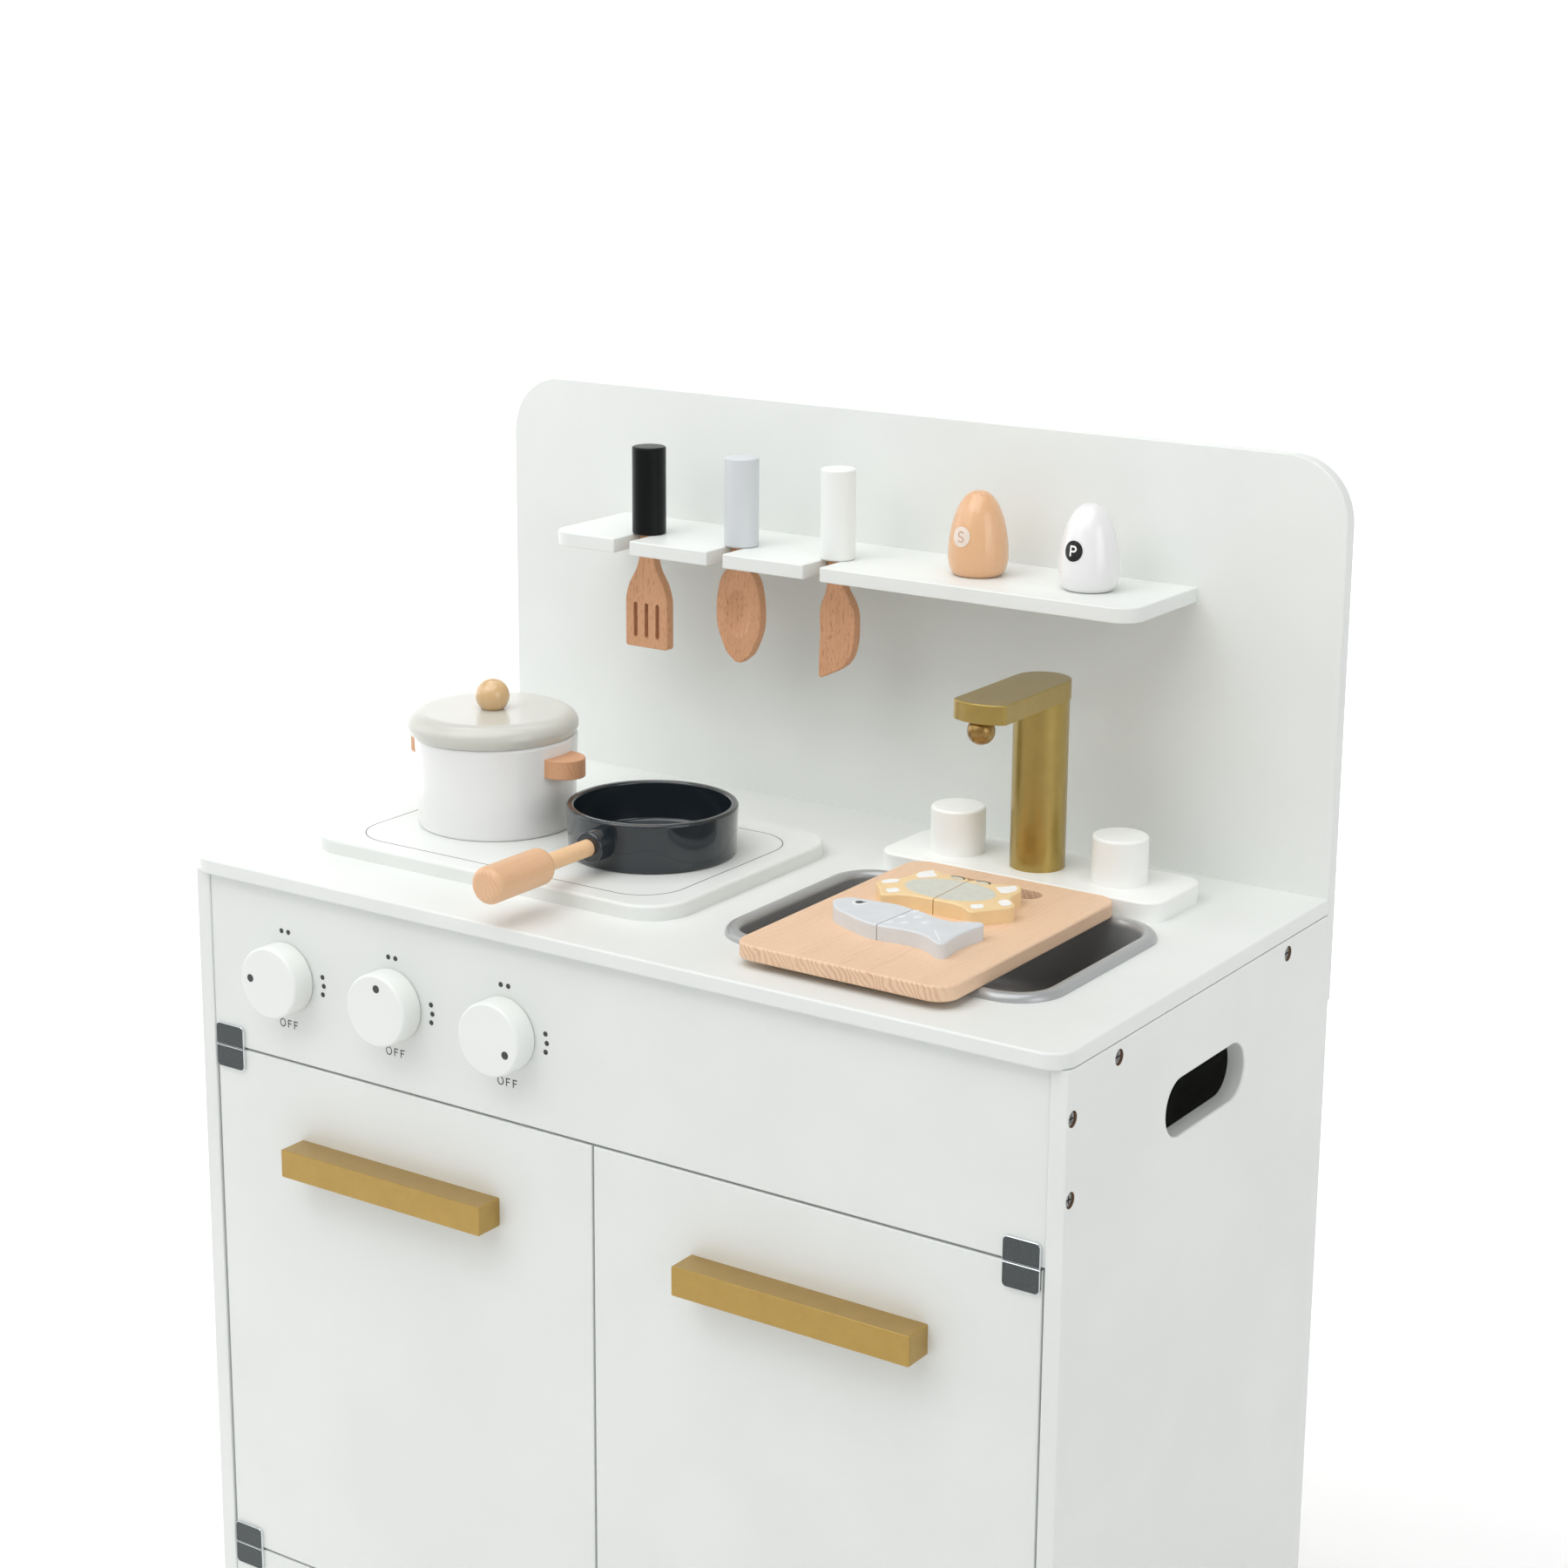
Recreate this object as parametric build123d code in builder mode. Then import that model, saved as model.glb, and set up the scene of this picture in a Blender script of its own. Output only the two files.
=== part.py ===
from build123d import *
import os
from math import cos, sin, radians

# Play kitchen in painted board, with its cookware, utensils and toy food.
# Millimetres. X runs left to right, Y from front to back, Z up from the floor.
# The origin is under the middle of the whole object.

# Cabinet boards
width = 600.0
counter_height = 500.0
side_depth = 316.5
side_board = 10.5
top_board = 9.5
board = 9.0
rear_sheet = 5.0
foot_height = 3.0
foot_width = 9.0
foot_length = 30.0
foot_inset = 20.0
paint_round = 0.8
cleat = 17.0
cleat_front_gap = 12.0
cleat_rear_gap = 16.5

# Holes are cut this much past what goes in them; edges are picked by place within these margins
hole_spare = 0.5
cut_over = 1.0
pick_margin = 1.0
same_place = 0.01

# Countertop and backboard
top_overhang = 5.8
top_corner = 15.0
top_round = 1.5
backboard_notch = 6.4
backboard_rise = 257.1
backboard_drop = 63.2
backboard_corner = 38.0

# Front
face_setback = 1.0
fascia_drop = 117.9
plinth_height = 45.0
door_gap = 1.5

# Hand slot in each side panel
hand_slot_length = 95.5
hand_slot_height = 33.0
hand_slot_from_front = 158.0
hand_slot_below_top = 68.5
hand_slot_round = 1.2

# Carcass screws, their sunk heads and their places
screw_head_radius = 3.8
screw_head_height = 2.4
screw_shank_radius = 1.75
screw_length = 22.0
screw_cross_length = 4.6
screw_cross_width = 0.9
screw_cross_depth = 1.2
recess_radius = 4.5
recess_depth = 3.4
drill_clearance = 0.05
cleat_screw_front = 53.8
cleat_screw_rear = 256.8
fascia_screw_upper = 36.1
fascia_screw_lower = 79.7
bottom_screw_front = 60.0
bottom_screw_rear = 250.0
edge_screw_margin = 14.0
shelf_screw_pitch = 185.0

# Hob plate, as wide as the sink leaves room for
hob_sink_gap = 29.5
hob_depth = 184.0
hob_height = 9.0
hob_corner = 27.0
hob_round = 2.0
hob_left_margin = 45.0
hob_front_margin = 46.0

# Sink
sink_width = 211.0
sink_depth = 157.0
sink_corner = 29.0
sink_rim_height = 4.5
sink_rim_width = 9.0
sink_rim_round = 4.2
sink_bowl_depth = 55.0
sink_wall = 2.0
sink_bowl_round = 12.0
sink_right_margin = 44.5
sink_front_margin = 46.0
sink_cutout_clearance = 1.0

# Faucet and taps
faucet_plate_width = 187.0
faucet_plate_depth = 62.0
faucet_plate_height = 12.0
faucet_plate_corner = 13.0
sink_faucet_gap = 5.5
board_faucet_gap = 4.0
faucet_left_shift = 2.8
faucet_plate_back_shift = 1.5
column_radius = 16.3
column_height = 101.5
column_peg_radius = 6.0
spout_half_width = 17.0
spout_reach = 77.6
spout_front_sag = 6.0
spout_front_corner = 2.5
spout_height = 11.3
spout_round = 0.8
nozzle_radius = 8.0
nozzle_from_column = 69.0
nozzle_drop = 5.9
tap_radius = 16.4
tap_height = 27.8
tap_round = 1.8
tap_pitch = 54.1
tap_peg_radius = 4.0
peg_tail = 3.0
running_clearance = 0.06
drop_clearance = 0.5

# Hob knobs
knob_count = 3
knob_radius = 21.8
knob_thickness = 15.6
knob_round = 1.6
knob_pitch = 83.9
knob_first_from_left = 70.6
knob_below_top = 65.2
knob_gap = 0.4
spindle_radius = 3.0
spindle_head_radius = 6.0
spindle_head_height = 2.5
spindle_play = 0.3
spindle_grip = 10.0

# Doors, bar handles and catches
handle_length = 153.0
handle_depth = 18.5
handle_height = 17.5
handle_round = 0.9
handle_below_door_top = 47.6
handle_screw_pitch = 110.0
handle_screw_bite = 12.0
magnet_radius = 3.5
magnet_length = 6.0
magnet_from_door_end = 60.0
strike_width = 12.0
strike_height = 20.0
strike_sheet = 1.0

# Hinges
leaf_width = 22.5
leaf_height = 14.0
leaf_plate = 2.0
leaf_tab = 0.6
leaf_tab_depth = 8.0
leaf_corner = 3.0
leaf_inset = 0.5
pivot_from_door_edge = 5.5
pivot_behind_face = 2.5
pin_radius = 1.25
pin_bite = 6.0
pin_fit = 0.02
pin_clearance = 0.05

# Utensil shelf
shelf_length = 416.0
shelf_depth = 80.5
shelf_rise = 173.5
shelf_corner = 15.0
slot_width = 12.0
slot_depth = 42.0
slot_pitch = 71.1
slot_first_from_centre = 150.4
slot_mouth_round = 0.8
utensil_count = 3

# Pot and lid
pot_left_of_hob = 56.5
pot_before_hob = 1.6
pot_radius = 50.0
pot_base_radius = 48.2
pot_height = 57.2
pot_wall = 5.0
pot_base_round = 1.5
pot_rim_round = 2.0
pot_ear_reach = 16.0
pot_ear_half_width = 13.3
pot_ear_thickness = 11.9
pot_ear_round = 0.8
pot_ear_below_rim = 8.2
pot_ear_inset = 1.0
lid_radius = 52.5
lid_height = 14.0
lid_top_radius = 42.0
lid_widest_height = 5.4
lid_undercut = 2.4
lid_lip_radius = 42.0
lid_lip_depth = 4.0
lid_shift_x = -1.7
lid_shift_y = -1.1
lid_knob_radius = 10.5
lid_knob_sink = 2.2

# Pan
pan_right_of_hob = 60.1
pan_behind_hob = 1.4
pan_radius = 51.4
pan_base_radius = 50.1
pan_height = 30.2
pan_wall = 4.7
pan_floor = 5.0
pan_floor_round = 3.0
pan_base_round = 2.5
pan_rim_round = 1.6
pan_handle_height = 17.0
boss_radius = 9.6
boss_reach = 63.4
boss_round = 2.0
rod_radius = 5.1
rod_bite = 7.0
rod_visible = 41.4
grip_radius = 10.9
grip_length = 51.9
grip_front_round = 4.4
grip_rear_round = 4.4
grip_socket = 15.0
socket_clearance = 0.05

# Cutting board
cutting_width = 136.0
cutting_depth = 190.0
cutting_thickness = 9.0
cutting_corner = 13.0
cutting_round = 1.4
cutting_right_of_sink = 2.0
cutting_slot_length = 60.0
cutting_slot_height = 16.0
cutting_slot_from_rear = 24.5

# Toy food
toy_thickness = 9.0
toy_round = 1.1
toy_cut_gap = 0.6
fish_length = 91.5
fish_height = 43.5
fish_cut_at = 45.1
fish_turn = -3.7
fish_from_board_left = 20.0
fish_from_board_front = 72.05
crab_half_width = 43.2
crab_depth = 48.9
crab_turn = 1.7
crab_from_board_left = 64.7
crab_from_board_front = 103.35

# Outline of the fish from its nose, along the back, down the tail and back along the belly,
# as shares of its length and height
fish_shares = (
    (0.000, 0.000), (0.007, 0.051), (0.025, 0.131), (0.059, 0.205), (0.109, 0.237), (0.181, 0.262),
    (0.290, 0.310), (0.362, 0.329), (0.421, 0.320), (0.493, 0.292), (0.584, 0.267), (0.658, 0.211),
    (0.727, 0.184), (0.798, 0.191), (0.833, 0.218), (0.868, 0.274), (0.902, 0.340), (0.930, 0.379),
    (0.960, 0.379), (0.981, 0.324), (0.979, 0.198), (0.972, 0.044), (0.970, -0.110), (0.976, -0.264),
    (0.989, -0.414), (1.000, -0.520), (0.996, -0.589), (0.973, -0.621), (0.937, -0.598), (0.899, -0.556),
    (0.862, -0.510), (0.810, -0.464), (0.751, -0.441), (0.679, -0.444), (0.605, -0.469), (0.549, -0.499),
    (0.490, -0.513), (0.424, -0.508), (0.373, -0.487), (0.313, -0.446), (0.238, -0.389), (0.164, -0.331),
    (0.118, -0.290), (0.081, -0.234), (0.046, -0.159), (0.015, -0.071),
)

# Right half of the crab's outline from the middle of its front to the notch at the rear,
# as shares of its half width and depth
crab_shares = (
    (0.162, 0.000), (0.315, -0.006), (0.428, -0.039), (0.521, -0.086), (0.616, -0.153), (0.674, -0.155),
    (0.718, -0.102), (0.819, 0.022), (0.910, 0.125), (0.986, 0.215), (0.995, 0.303), (0.924, 0.403),
    (0.843, 0.481), (0.794, 0.573), (0.773, 0.695), (0.769, 0.798), (0.743, 0.888), (0.681, 0.971),
    (0.600, 0.996), (0.509, 0.959), (0.405, 0.930), (0.266, 0.912), (0.116, 0.914), (0.037, 0.892),
)
crab_notch_share = 0.855

# Utensils
utensil_thickness = 7.0
neck_width = 11.0
neck_length = 10.0
tang_length = 15.0
tang_clearance = 0.1
blade_round = 0.8
utensil_from_front = 259.0
grip_handle_radius = 10.75
grip_handle_height = 55.6
grip_handle_top_round = 1.2
grip_handle_base_round = 1.4
utensil_reach = 73.8
spatula_width = 32.8
spatula_corner = 2.0
spatula_slot_width = 3.0
spatula_slot_height = 22.8
spatula_slot_pitch = 8.55
spatula_slot_from_end = 6.2
spoon_width = 33.6
spoon_hollow_width = 19.3
spoon_hollow_length = 30.3
spoon_hollow_depth = 3.0
spoon_hollow_drop = 42.8
knife_width = 25.9
knife_reach = 75.7
knife_left_share = 0.421
knife_tip_round = 1.6
knife_tip_slope = 0.5

# Edges of the blades from the neck downwards: shares of the half width (of the whole width for
# the knife) out from the middle, and of the reach below the shelf's top
spatula_shares = (
    (0.363, 0.221), (0.555, 0.341), (0.829, 0.446), (0.976, 0.551), (1.000, 0.630),
)
spoon_shares = (
    (0.595, 0.221), (0.908, 0.371), (1.000, 0.560), (0.946, 0.705), (0.726, 0.840), (0.435, 0.944),
    (0.226, 0.981),
)
knife_left_shares = (
    (0.263, 0.288), (0.371, 0.376), (0.398, 0.588), (0.421, 0.951),
)
knife_right_shares = (
    (0.251, 0.215), (0.402, 0.303), (0.533, 0.391), (0.579, 0.523), (0.541, 0.699), (0.436, 0.802),
    (0.251, 0.877), (-0.019, 0.934),
)

# Shakers
shaker_foot_radius = 12.5
shaker_radius = 18.0
shaker_widest_height = 11.5
shaker_height = 50.3
shaker_crown_radius = 1.5
salt_from_centre = 85.0
shaker_pitch = 74.3
shaker_from_front = 268.0

# Places that follow from the sizes above
half = width / 2
inner_half = half - side_board
backboard_from_front = side_depth - backboard_notch
handle_reach = handle_depth - face_setback
object_depth = handle_reach + backboard_from_front + top_board
front = handle_reach - object_depth / 2
face_y = front + face_setback
face_rear_y = face_y + board
backboard_y = front + backboard_from_front
side_rear_y = front + side_depth
counter_under = counter_height - top_board
backboard_bottom = counter_height - backboard_drop
fascia_bottom = counter_height - fascia_drop
door_top = fascia_bottom - door_gap
door_bottom = plinth_height + door_gap
door_width = inner_half - 1.5 * door_gap
door_outer = inner_half - door_gap
pivot_x = door_outer - pivot_from_door_edge
pivot_y = face_y + pivot_behind_face
hand_slot_y = front + hand_slot_from_front
hand_slot_z = counter_height - hand_slot_below_top
hob_width = width - hob_left_margin - hob_sink_gap - sink_width - sink_right_margin
hob_x = -half + hob_left_margin + hob_width / 2
hob_y = front + hob_front_margin + hob_depth / 2
hob_top = counter_height + hob_height
sink_x = half - sink_right_margin - sink_width / 2
sink_y = front + sink_front_margin + sink_depth / 2
bowl_width = sink_width - 2 * sink_rim_width
bowl_depth = sink_depth - 2 * sink_rim_width
bowl_corner = sink_corner - sink_rim_width
faucet_x = sink_x - faucet_left_shift
faucet_plate_front = sink_y + sink_depth / 2 + sink_faucet_gap
faucet_plate_y = faucet_plate_front + faucet_plate_depth / 2
faucet_y = faucet_plate_y - faucet_plate_back_shift
faucet_plate_top = counter_height + faucet_plate_height
spout_bottom = faucet_plate_top + column_height
shelf_top = counter_height + shelf_rise
shelf_bottom = shelf_top - board
shelf_front_y = backboard_y - shelf_depth
slot_xs = [i * slot_pitch - slot_first_from_centre for i in range(utensil_count)]
utensil_y = front + utensil_from_front
pot_x = hob_x - pot_left_of_hob
pot_y = hob_y - pot_before_hob
pan_x = hob_x + pan_right_of_hob
pan_y = hob_y + pan_behind_hob
pot_rim = hob_top + pot_height
pan_axis_z = hob_top + pan_handle_height
cutting_x = sink_x + cutting_right_of_sink
cutting_y = faucet_plate_front - board_faucet_gap - cutting_depth / 2
cutting_bottom = counter_height + sink_rim_height
cutting_top = cutting_bottom + cutting_thickness
cutting_left = cutting_x - cutting_width / 2
cutting_front = cutting_y - cutting_depth / 2
knob_z = counter_height - knob_below_top
knob_xs = [i * knob_pitch - half + knob_first_from_left for i in range(knob_count)]
magnet_zs = (door_bottom + magnet_from_door_end, door_top - magnet_from_door_end)
salt_x = salt_from_centre
pepper_x = salt_x + shaker_pitch
shaker_y = front + shaker_from_front

os.makedirs("parts", exist_ok=True)


def save(builder, label):
    """Names a finished piece and writes its STEP file."""
    builder.part.label = label
    export_step(builder.part, f"parts/{label}.step")


def block(xs, ys, zs, mode=Mode.ADD):
    """A rectangular block between two limits on each axis."""
    with Locations(((xs[0] + xs[1]) / 2, (ys[0] + ys[1]) / 2, (zs[0] + zs[1]) / 2)):
        Box(xs[1] - xs[0], ys[1] - ys[0], zs[1] - zs[0], mode=mode)


def disc_on(plane, radius):
    """A filled circle about the origin of a plane."""
    with BuildSketch(plane) as disc:
        Circle(radius)
    return disc.sketch


def rounded_on(z, x, y, size_x, size_y, corner):
    """A level rectangle with rounded corners, centred at x, y."""
    with BuildSketch(Plane.XY.offset(z)) as outline:
        with Locations((x, y)):
            RectangleRounded(size_x, size_y, corner)
    return outline.sketch


def upright(x, y, z):
    """A level plane at a point, for a piece that turns about a vertical axis."""
    return Plane(origin=(x, y, z), x_dir=(1, 0, 0), z_dir=(0, 0, 1))


def facing_front(x, y, z):
    """A plane at a point whose normal points out of the front."""
    return Plane(origin=(x, y, z), x_dir=(1, 0, 0), z_dir=(0, -1, 0))


# Carcass screw places: the plane lies on the floor of the sunk hole and faces out of the board

def side_screw(side, y, z):
    """Screw driven in through the left (-1) or right (1) side panel."""
    return Plane(origin=(side * (half - recess_depth), y, z), x_dir=(0, 1, 0), z_dir=(side, 0, 0))


def rear_screw(x, z):
    """Screw driven forwards through the backboard."""
    floor_y = backboard_y + top_board - recess_depth
    return Plane(origin=(x, floor_y, z), x_dir=(1, 0, 0), z_dir=(0, 1, 0))


cleat_screws = [
    side_screw(side, front + along, counter_under - cleat / 2)
    for side in (-1, 1)
    for along in (cleat_screw_front, cleat_screw_rear)
]
fascia_screws = [
    side_screw(side, face_y + board / 2, counter_height - below)
    for side in (-1, 1)
    for below in (fascia_screw_upper, fascia_screw_lower)
]
bottom_screws = [
    side_screw(side, front + along, plinth_height - board / 2)
    for side in (-1, 1)
    for along in (bottom_screw_front, bottom_screw_rear)
]
side_edge_screws = [
    rear_screw(side * (half - side_board / 2), z)
    for side in (-1, 1)
    for z in (backboard_bottom + edge_screw_margin, counter_under - edge_screw_margin)
]
shelf_screws = [rear_screw(x, shelf_bottom + board / 2) for x in (-shelf_screw_pitch, 0, shelf_screw_pitch)]
side_panel_screws = cleat_screws + fascia_screws + bottom_screws
all_screws = side_panel_screws + side_edge_screws + shelf_screws


def drill(planes):
    """Sunk hole and pilot hole for each screw, cut from the board being built."""
    for plane in planes:
        extrude(disc_on(plane, recess_radius), amount=recess_depth + cut_over, mode=Mode.SUBTRACT)
        extrude(disc_on(plane, screw_shank_radius + drill_clearance), amount=-screw_length - hole_spare,
                mode=Mode.SUBTRACT)


# Side panels, notched at the top of the rear edge for the backboard

def side_panel(side):
    """One side of the cabinet, from the foot pads to the underside of the countertop."""
    inner_plane = Plane.YZ.offset(side * half if side < 0 else inner_half)
    with BuildPart() as panel:
        with BuildSketch(inner_plane):
            with BuildLine():
                Polyline(
                    (front, foot_height),
                    (side_rear_y, foot_height),
                    (side_rear_y, backboard_bottom),
                    (backboard_y, backboard_bottom),
                    (backboard_y, counter_under),
                    (front, counter_under),
                    close=True,
                )
            make_face()
            with Locations((hand_slot_y, hand_slot_z)):
                SlotOverall(hand_slot_length, hand_slot_height, mode=Mode.SUBTRACT)
        extrude(amount=side_board)
        slot_edges = panel.edges().filter_by(
            lambda e: abs(e.center().Y - hand_slot_y) < hand_slot_length / 2 + pick_margin
            and abs(e.center().Z - hand_slot_z) < hand_slot_height / 2 + pick_margin
            and abs(e.center().X) > half - same_place
        )
        fillet(slot_edges, radius=hand_slot_round)
        fillet(panel.edges().filter_by(Axis.Z).group_by(Axis.Y)[0], radius=paint_round)
        drill([p for p in side_panel_screws if p.z_dir.X * side > 0])
        drill([p for p in side_edge_screws if p.origin.X * side > 0])
    return panel


for side, label in ((-1, "left_side_panel"), (1, "right_side_panel")):
    save(side_panel(side), label)

# Foot pads under the ends of the side panels
with BuildPart() as foot_pads:
    for x in (-half + side_board / 2, half - side_board / 2):
        for y in (front + foot_inset + foot_length / 2, side_rear_y - foot_inset - foot_length / 2):
            extrude(rounded_on(0, x, y, foot_width, foot_length, foot_width / 3), amount=foot_height)
save(foot_pads, "foot_pads")

# Countertop, cut out for the bowl and drilled for the faucet and tap pegs
with BuildPart() as countertop:
    top_front = front - top_overhang
    block((-half, half), (top_front, backboard_y), (counter_under, counter_height))
    fillet(countertop.edges().filter_by(Axis.Z).group_by(Axis.Y)[0], radius=top_corner)
    for end in (-1, 0):
        face = countertop.faces().sort_by(Axis.Z)[end]
        fillet(face.outer_wire().edges().sort_by(Axis.Y)[:-1], radius=top_round)
    cutout = 2 * (sink_wall + sink_cutout_clearance)
    bowl_hole = rounded_on(
        counter_height, sink_x, sink_y, bowl_width + cutout, bowl_depth + cutout, bowl_corner + cutout / 2
    )
    extrude(bowl_hole, amount=-top_board, mode=Mode.SUBTRACT)
    extrude(disc_on(upright(faucet_x, faucet_y, counter_height), column_peg_radius + drop_clearance),
            amount=-top_board, mode=Mode.SUBTRACT)
    for x in (faucet_x - tap_pitch, faucet_x + tap_pitch):
        extrude(disc_on(upright(x, faucet_y, counter_height), tap_peg_radius + drop_clearance),
                amount=-top_board, mode=Mode.SUBTRACT)
save(countertop, "countertop")

# Backboard with two rounded top corners
with BuildPart() as backboard:
    block((-half, half), (backboard_y, backboard_y + top_board),
          (backboard_bottom, counter_height + backboard_rise))
    fillet(backboard.edges().filter_by(Axis.Y).group_by(Axis.Z)[-1], radius=backboard_corner)
    for end in (0, -1):
        face = backboard.faces().sort_by(Axis.Y)[end]
        fillet(face.outer_wire().edges().sort_by(Axis.Z)[1:], radius=paint_round)
    drill(side_edge_screws + shelf_screws)
save(backboard, "backboard")

# Fascia across the front, above the doors
with BuildPart() as fascia_panel:
    block((-inner_half, inner_half), (face_y, face_rear_y), (fascia_bottom, counter_under))
    face_edges = fascia_panel.faces().sort_by(Axis.Y)[0].outer_wire().edges().sort_by(Axis.Z)[:-1]
    fillet(face_edges, radius=paint_round)
    for x in knob_xs:
        extrude(disc_on(facing_front(x, face_y, knob_z), spindle_radius + running_clearance),
                amount=-board, mode=Mode.SUBTRACT)
    for x in (-pivot_x, pivot_x):
        extrude(disc_on(upright(x, pivot_y, fascia_bottom), pin_radius + pin_fit),
                amount=pin_bite + hole_spare, mode=Mode.SUBTRACT)
    drill(fascia_screws)
save(fascia_panel, "fascia_panel")

# Plinth under the doors
with BuildPart() as plinth:
    block((-inner_half, inner_half), (face_y, face_rear_y), (foot_height, plinth_height))
    fillet(plinth.faces().sort_by(Axis.Y)[0].outer_wire().edges().sort_by(Axis.Z)[1:], radius=paint_round)
    for x in (-pivot_x, pivot_x):
        extrude(disc_on(upright(x, pivot_y, plinth_height), pin_radius + pin_fit),
                amount=-pin_bite - hole_spare, mode=Mode.SUBTRACT)
save(plinth, "plinth")

# Cabinet floor
with BuildPart() as bottom_panel:
    block((-inner_half, inner_half), (face_rear_y, side_rear_y - rear_sheet),
          (plinth_height - board, plinth_height))
    drill(bottom_screws)
save(bottom_panel, "bottom_panel")

# Thin sheet that closes the back, up to the backboard
with BuildPart() as rear_panel:
    block((-inner_half, inner_half), (side_rear_y - rear_sheet, side_rear_y),
          (plinth_height - board, backboard_bottom))
save(rear_panel, "rear_panel")

# Divider between the two compartments, with the magnets' holes in its front edge
with BuildPart() as centre_divider:
    block((-board / 2, board / 2), (face_rear_y, backboard_y), (plinth_height, counter_under))
    for z in magnet_zs:
        extrude(disc_on(facing_front(0, face_rear_y, z), magnet_radius), amount=-magnet_length,
                mode=Mode.SUBTRACT)
save(centre_divider, "centre_divider")

# Battens that tie the side panels to the countertop
with BuildPart() as top_cleats:
    for inner, outer in ((-inner_half, -inner_half + cleat), (inner_half - cleat, inner_half)):
        block((inner, outer), (front + cleat_front_gap, side_rear_y - cleat_rear_gap),
              (counter_under - cleat, counter_under))
    drill(cleat_screws)
save(top_cleats, "top_cleats")

# Cross-head screws that hold the boards together
with BuildPart() as carcass_screws:
    for plane in all_screws:
        extrude(disc_on(plane, screw_head_radius), amount=screw_head_height)
        extrude(disc_on(plane, screw_shank_radius), amount=-screw_length)
        with BuildSketch(plane.offset(screw_head_height)) as cross:
            Rectangle(screw_cross_length, screw_cross_width)
            Rectangle(screw_cross_width, screw_cross_length)
        extrude(cross.sketch, amount=-screw_cross_depth, mode=Mode.SUBTRACT)
save(carcass_screws, "carcass_screws")

# Raised white hob plate
with BuildPart() as hob_plate:
    extrude(rounded_on(counter_height, hob_x, hob_y, hob_width, hob_depth, hob_corner), amount=hob_height)
    fillet(hob_plate.edges().group_by(Axis.Z)[-1], radius=hob_round)
save(hob_plate, "hob_plate")

# Drop-in sink: a domed rim on the countertop and a bowl through the cut-out
with BuildPart() as sink_basin:
    extrude(rounded_on(counter_height, sink_x, sink_y, sink_width, sink_depth, sink_corner),
            amount=sink_rim_height)
    bowl_outer = rounded_on(
        counter_height, sink_x, sink_y,
        bowl_width + 2 * sink_wall, bowl_depth + 2 * sink_wall, bowl_corner + sink_wall,
    )
    extrude(bowl_outer, amount=-sink_bowl_depth)
    bowl_inner = rounded_on(
        counter_height + sink_rim_height, sink_x, sink_y, bowl_width, bowl_depth, bowl_corner
    )
    extrude(bowl_inner, amount=-sink_rim_height - sink_bowl_depth + sink_wall, mode=Mode.SUBTRACT)
    bowl_floor = counter_height - sink_bowl_depth + sink_wall
    fillet(sink_basin.edges().filter_by(lambda e: abs(e.center().Z - bowl_floor) < same_place),
           radius=sink_bowl_round)
    fillet(sink_basin.edges().group_by(Axis.Z)[0], radius=sink_bowl_round + sink_wall)
    fillet(sink_basin.edges().group_by(Axis.Z)[-1], radius=sink_rim_round)
save(sink_basin, "sink_basin")

# Base plate that carries the faucet and both taps
with BuildPart() as faucet_base_plate:
    extrude(rounded_on(counter_height, faucet_x, faucet_plate_y, faucet_plate_width,
                       faucet_plate_depth, faucet_plate_corner), amount=faucet_plate_height)
    fillet(faucet_base_plate.edges().group_by(Axis.Z)[-1], radius=top_round)
    extrude(disc_on(upright(faucet_x, faucet_y, faucet_plate_top), column_peg_radius + running_clearance),
            amount=-faucet_plate_height, mode=Mode.SUBTRACT)
    for x in (faucet_x - tap_pitch, faucet_x + tap_pitch):
        extrude(disc_on(upright(x, faucet_y, faucet_plate_top), tap_peg_radius + running_clearance),
                amount=-faucet_plate_height, mode=Mode.SUBTRACT)
save(faucet_base_plate, "faucet_base_plate")

peg_length = faucet_plate_height + top_board + peg_tail

# Faucet column, turned in one piece with the peg it swivels on
with BuildPart() as faucet_column:
    column_base = upright(faucet_x, faucet_y, faucet_plate_top)
    extrude(disc_on(column_base, column_radius), amount=column_height)
    extrude(disc_on(column_base, column_peg_radius), amount=-peg_length)
save(faucet_column, "faucet_column")

# Spout: a flat bar, round over the column and slightly bowed at its front end
with BuildPart() as faucet_spout:
    corner_y = faucet_y - spout_reach + spout_front_sag
    with BuildSketch(Plane.XY.offset(spout_bottom)):
        with BuildLine():
            Line((faucet_x + spout_half_width, corner_y), (faucet_x + spout_half_width, faucet_y))
            ThreePointArc(
                (faucet_x + spout_half_width, faucet_y),
                (faucet_x, faucet_y + spout_half_width),
                (faucet_x - spout_half_width, faucet_y),
            )
            Line((faucet_x - spout_half_width, faucet_y), (faucet_x - spout_half_width, corner_y))
            ThreePointArc(
                (faucet_x - spout_half_width, corner_y),
                (faucet_x, faucet_y - spout_reach),
                (faucet_x + spout_half_width, corner_y),
            )
        make_face()
    extrude(amount=spout_height)
    fillet(faucet_spout.edges().filter_by(Axis.Z).group_by(Axis.Y)[0], radius=spout_front_corner)
    fillet(faucet_spout.edges().group_by(Axis.Z)[-1], radius=spout_round)
save(faucet_spout, "faucet_spout")

# Ball under the spout's end, flat where it meets the spout
with BuildPart() as spout_nozzle:
    nozzle_y = faucet_y - nozzle_from_column
    with Locations((faucet_x, nozzle_y, spout_bottom - nozzle_drop)):
        Sphere(nozzle_radius)
    split(bisect_by=Plane.XY.offset(spout_bottom), keep=Keep.BOTTOM)
save(spout_nozzle, "spout_nozzle")


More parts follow.
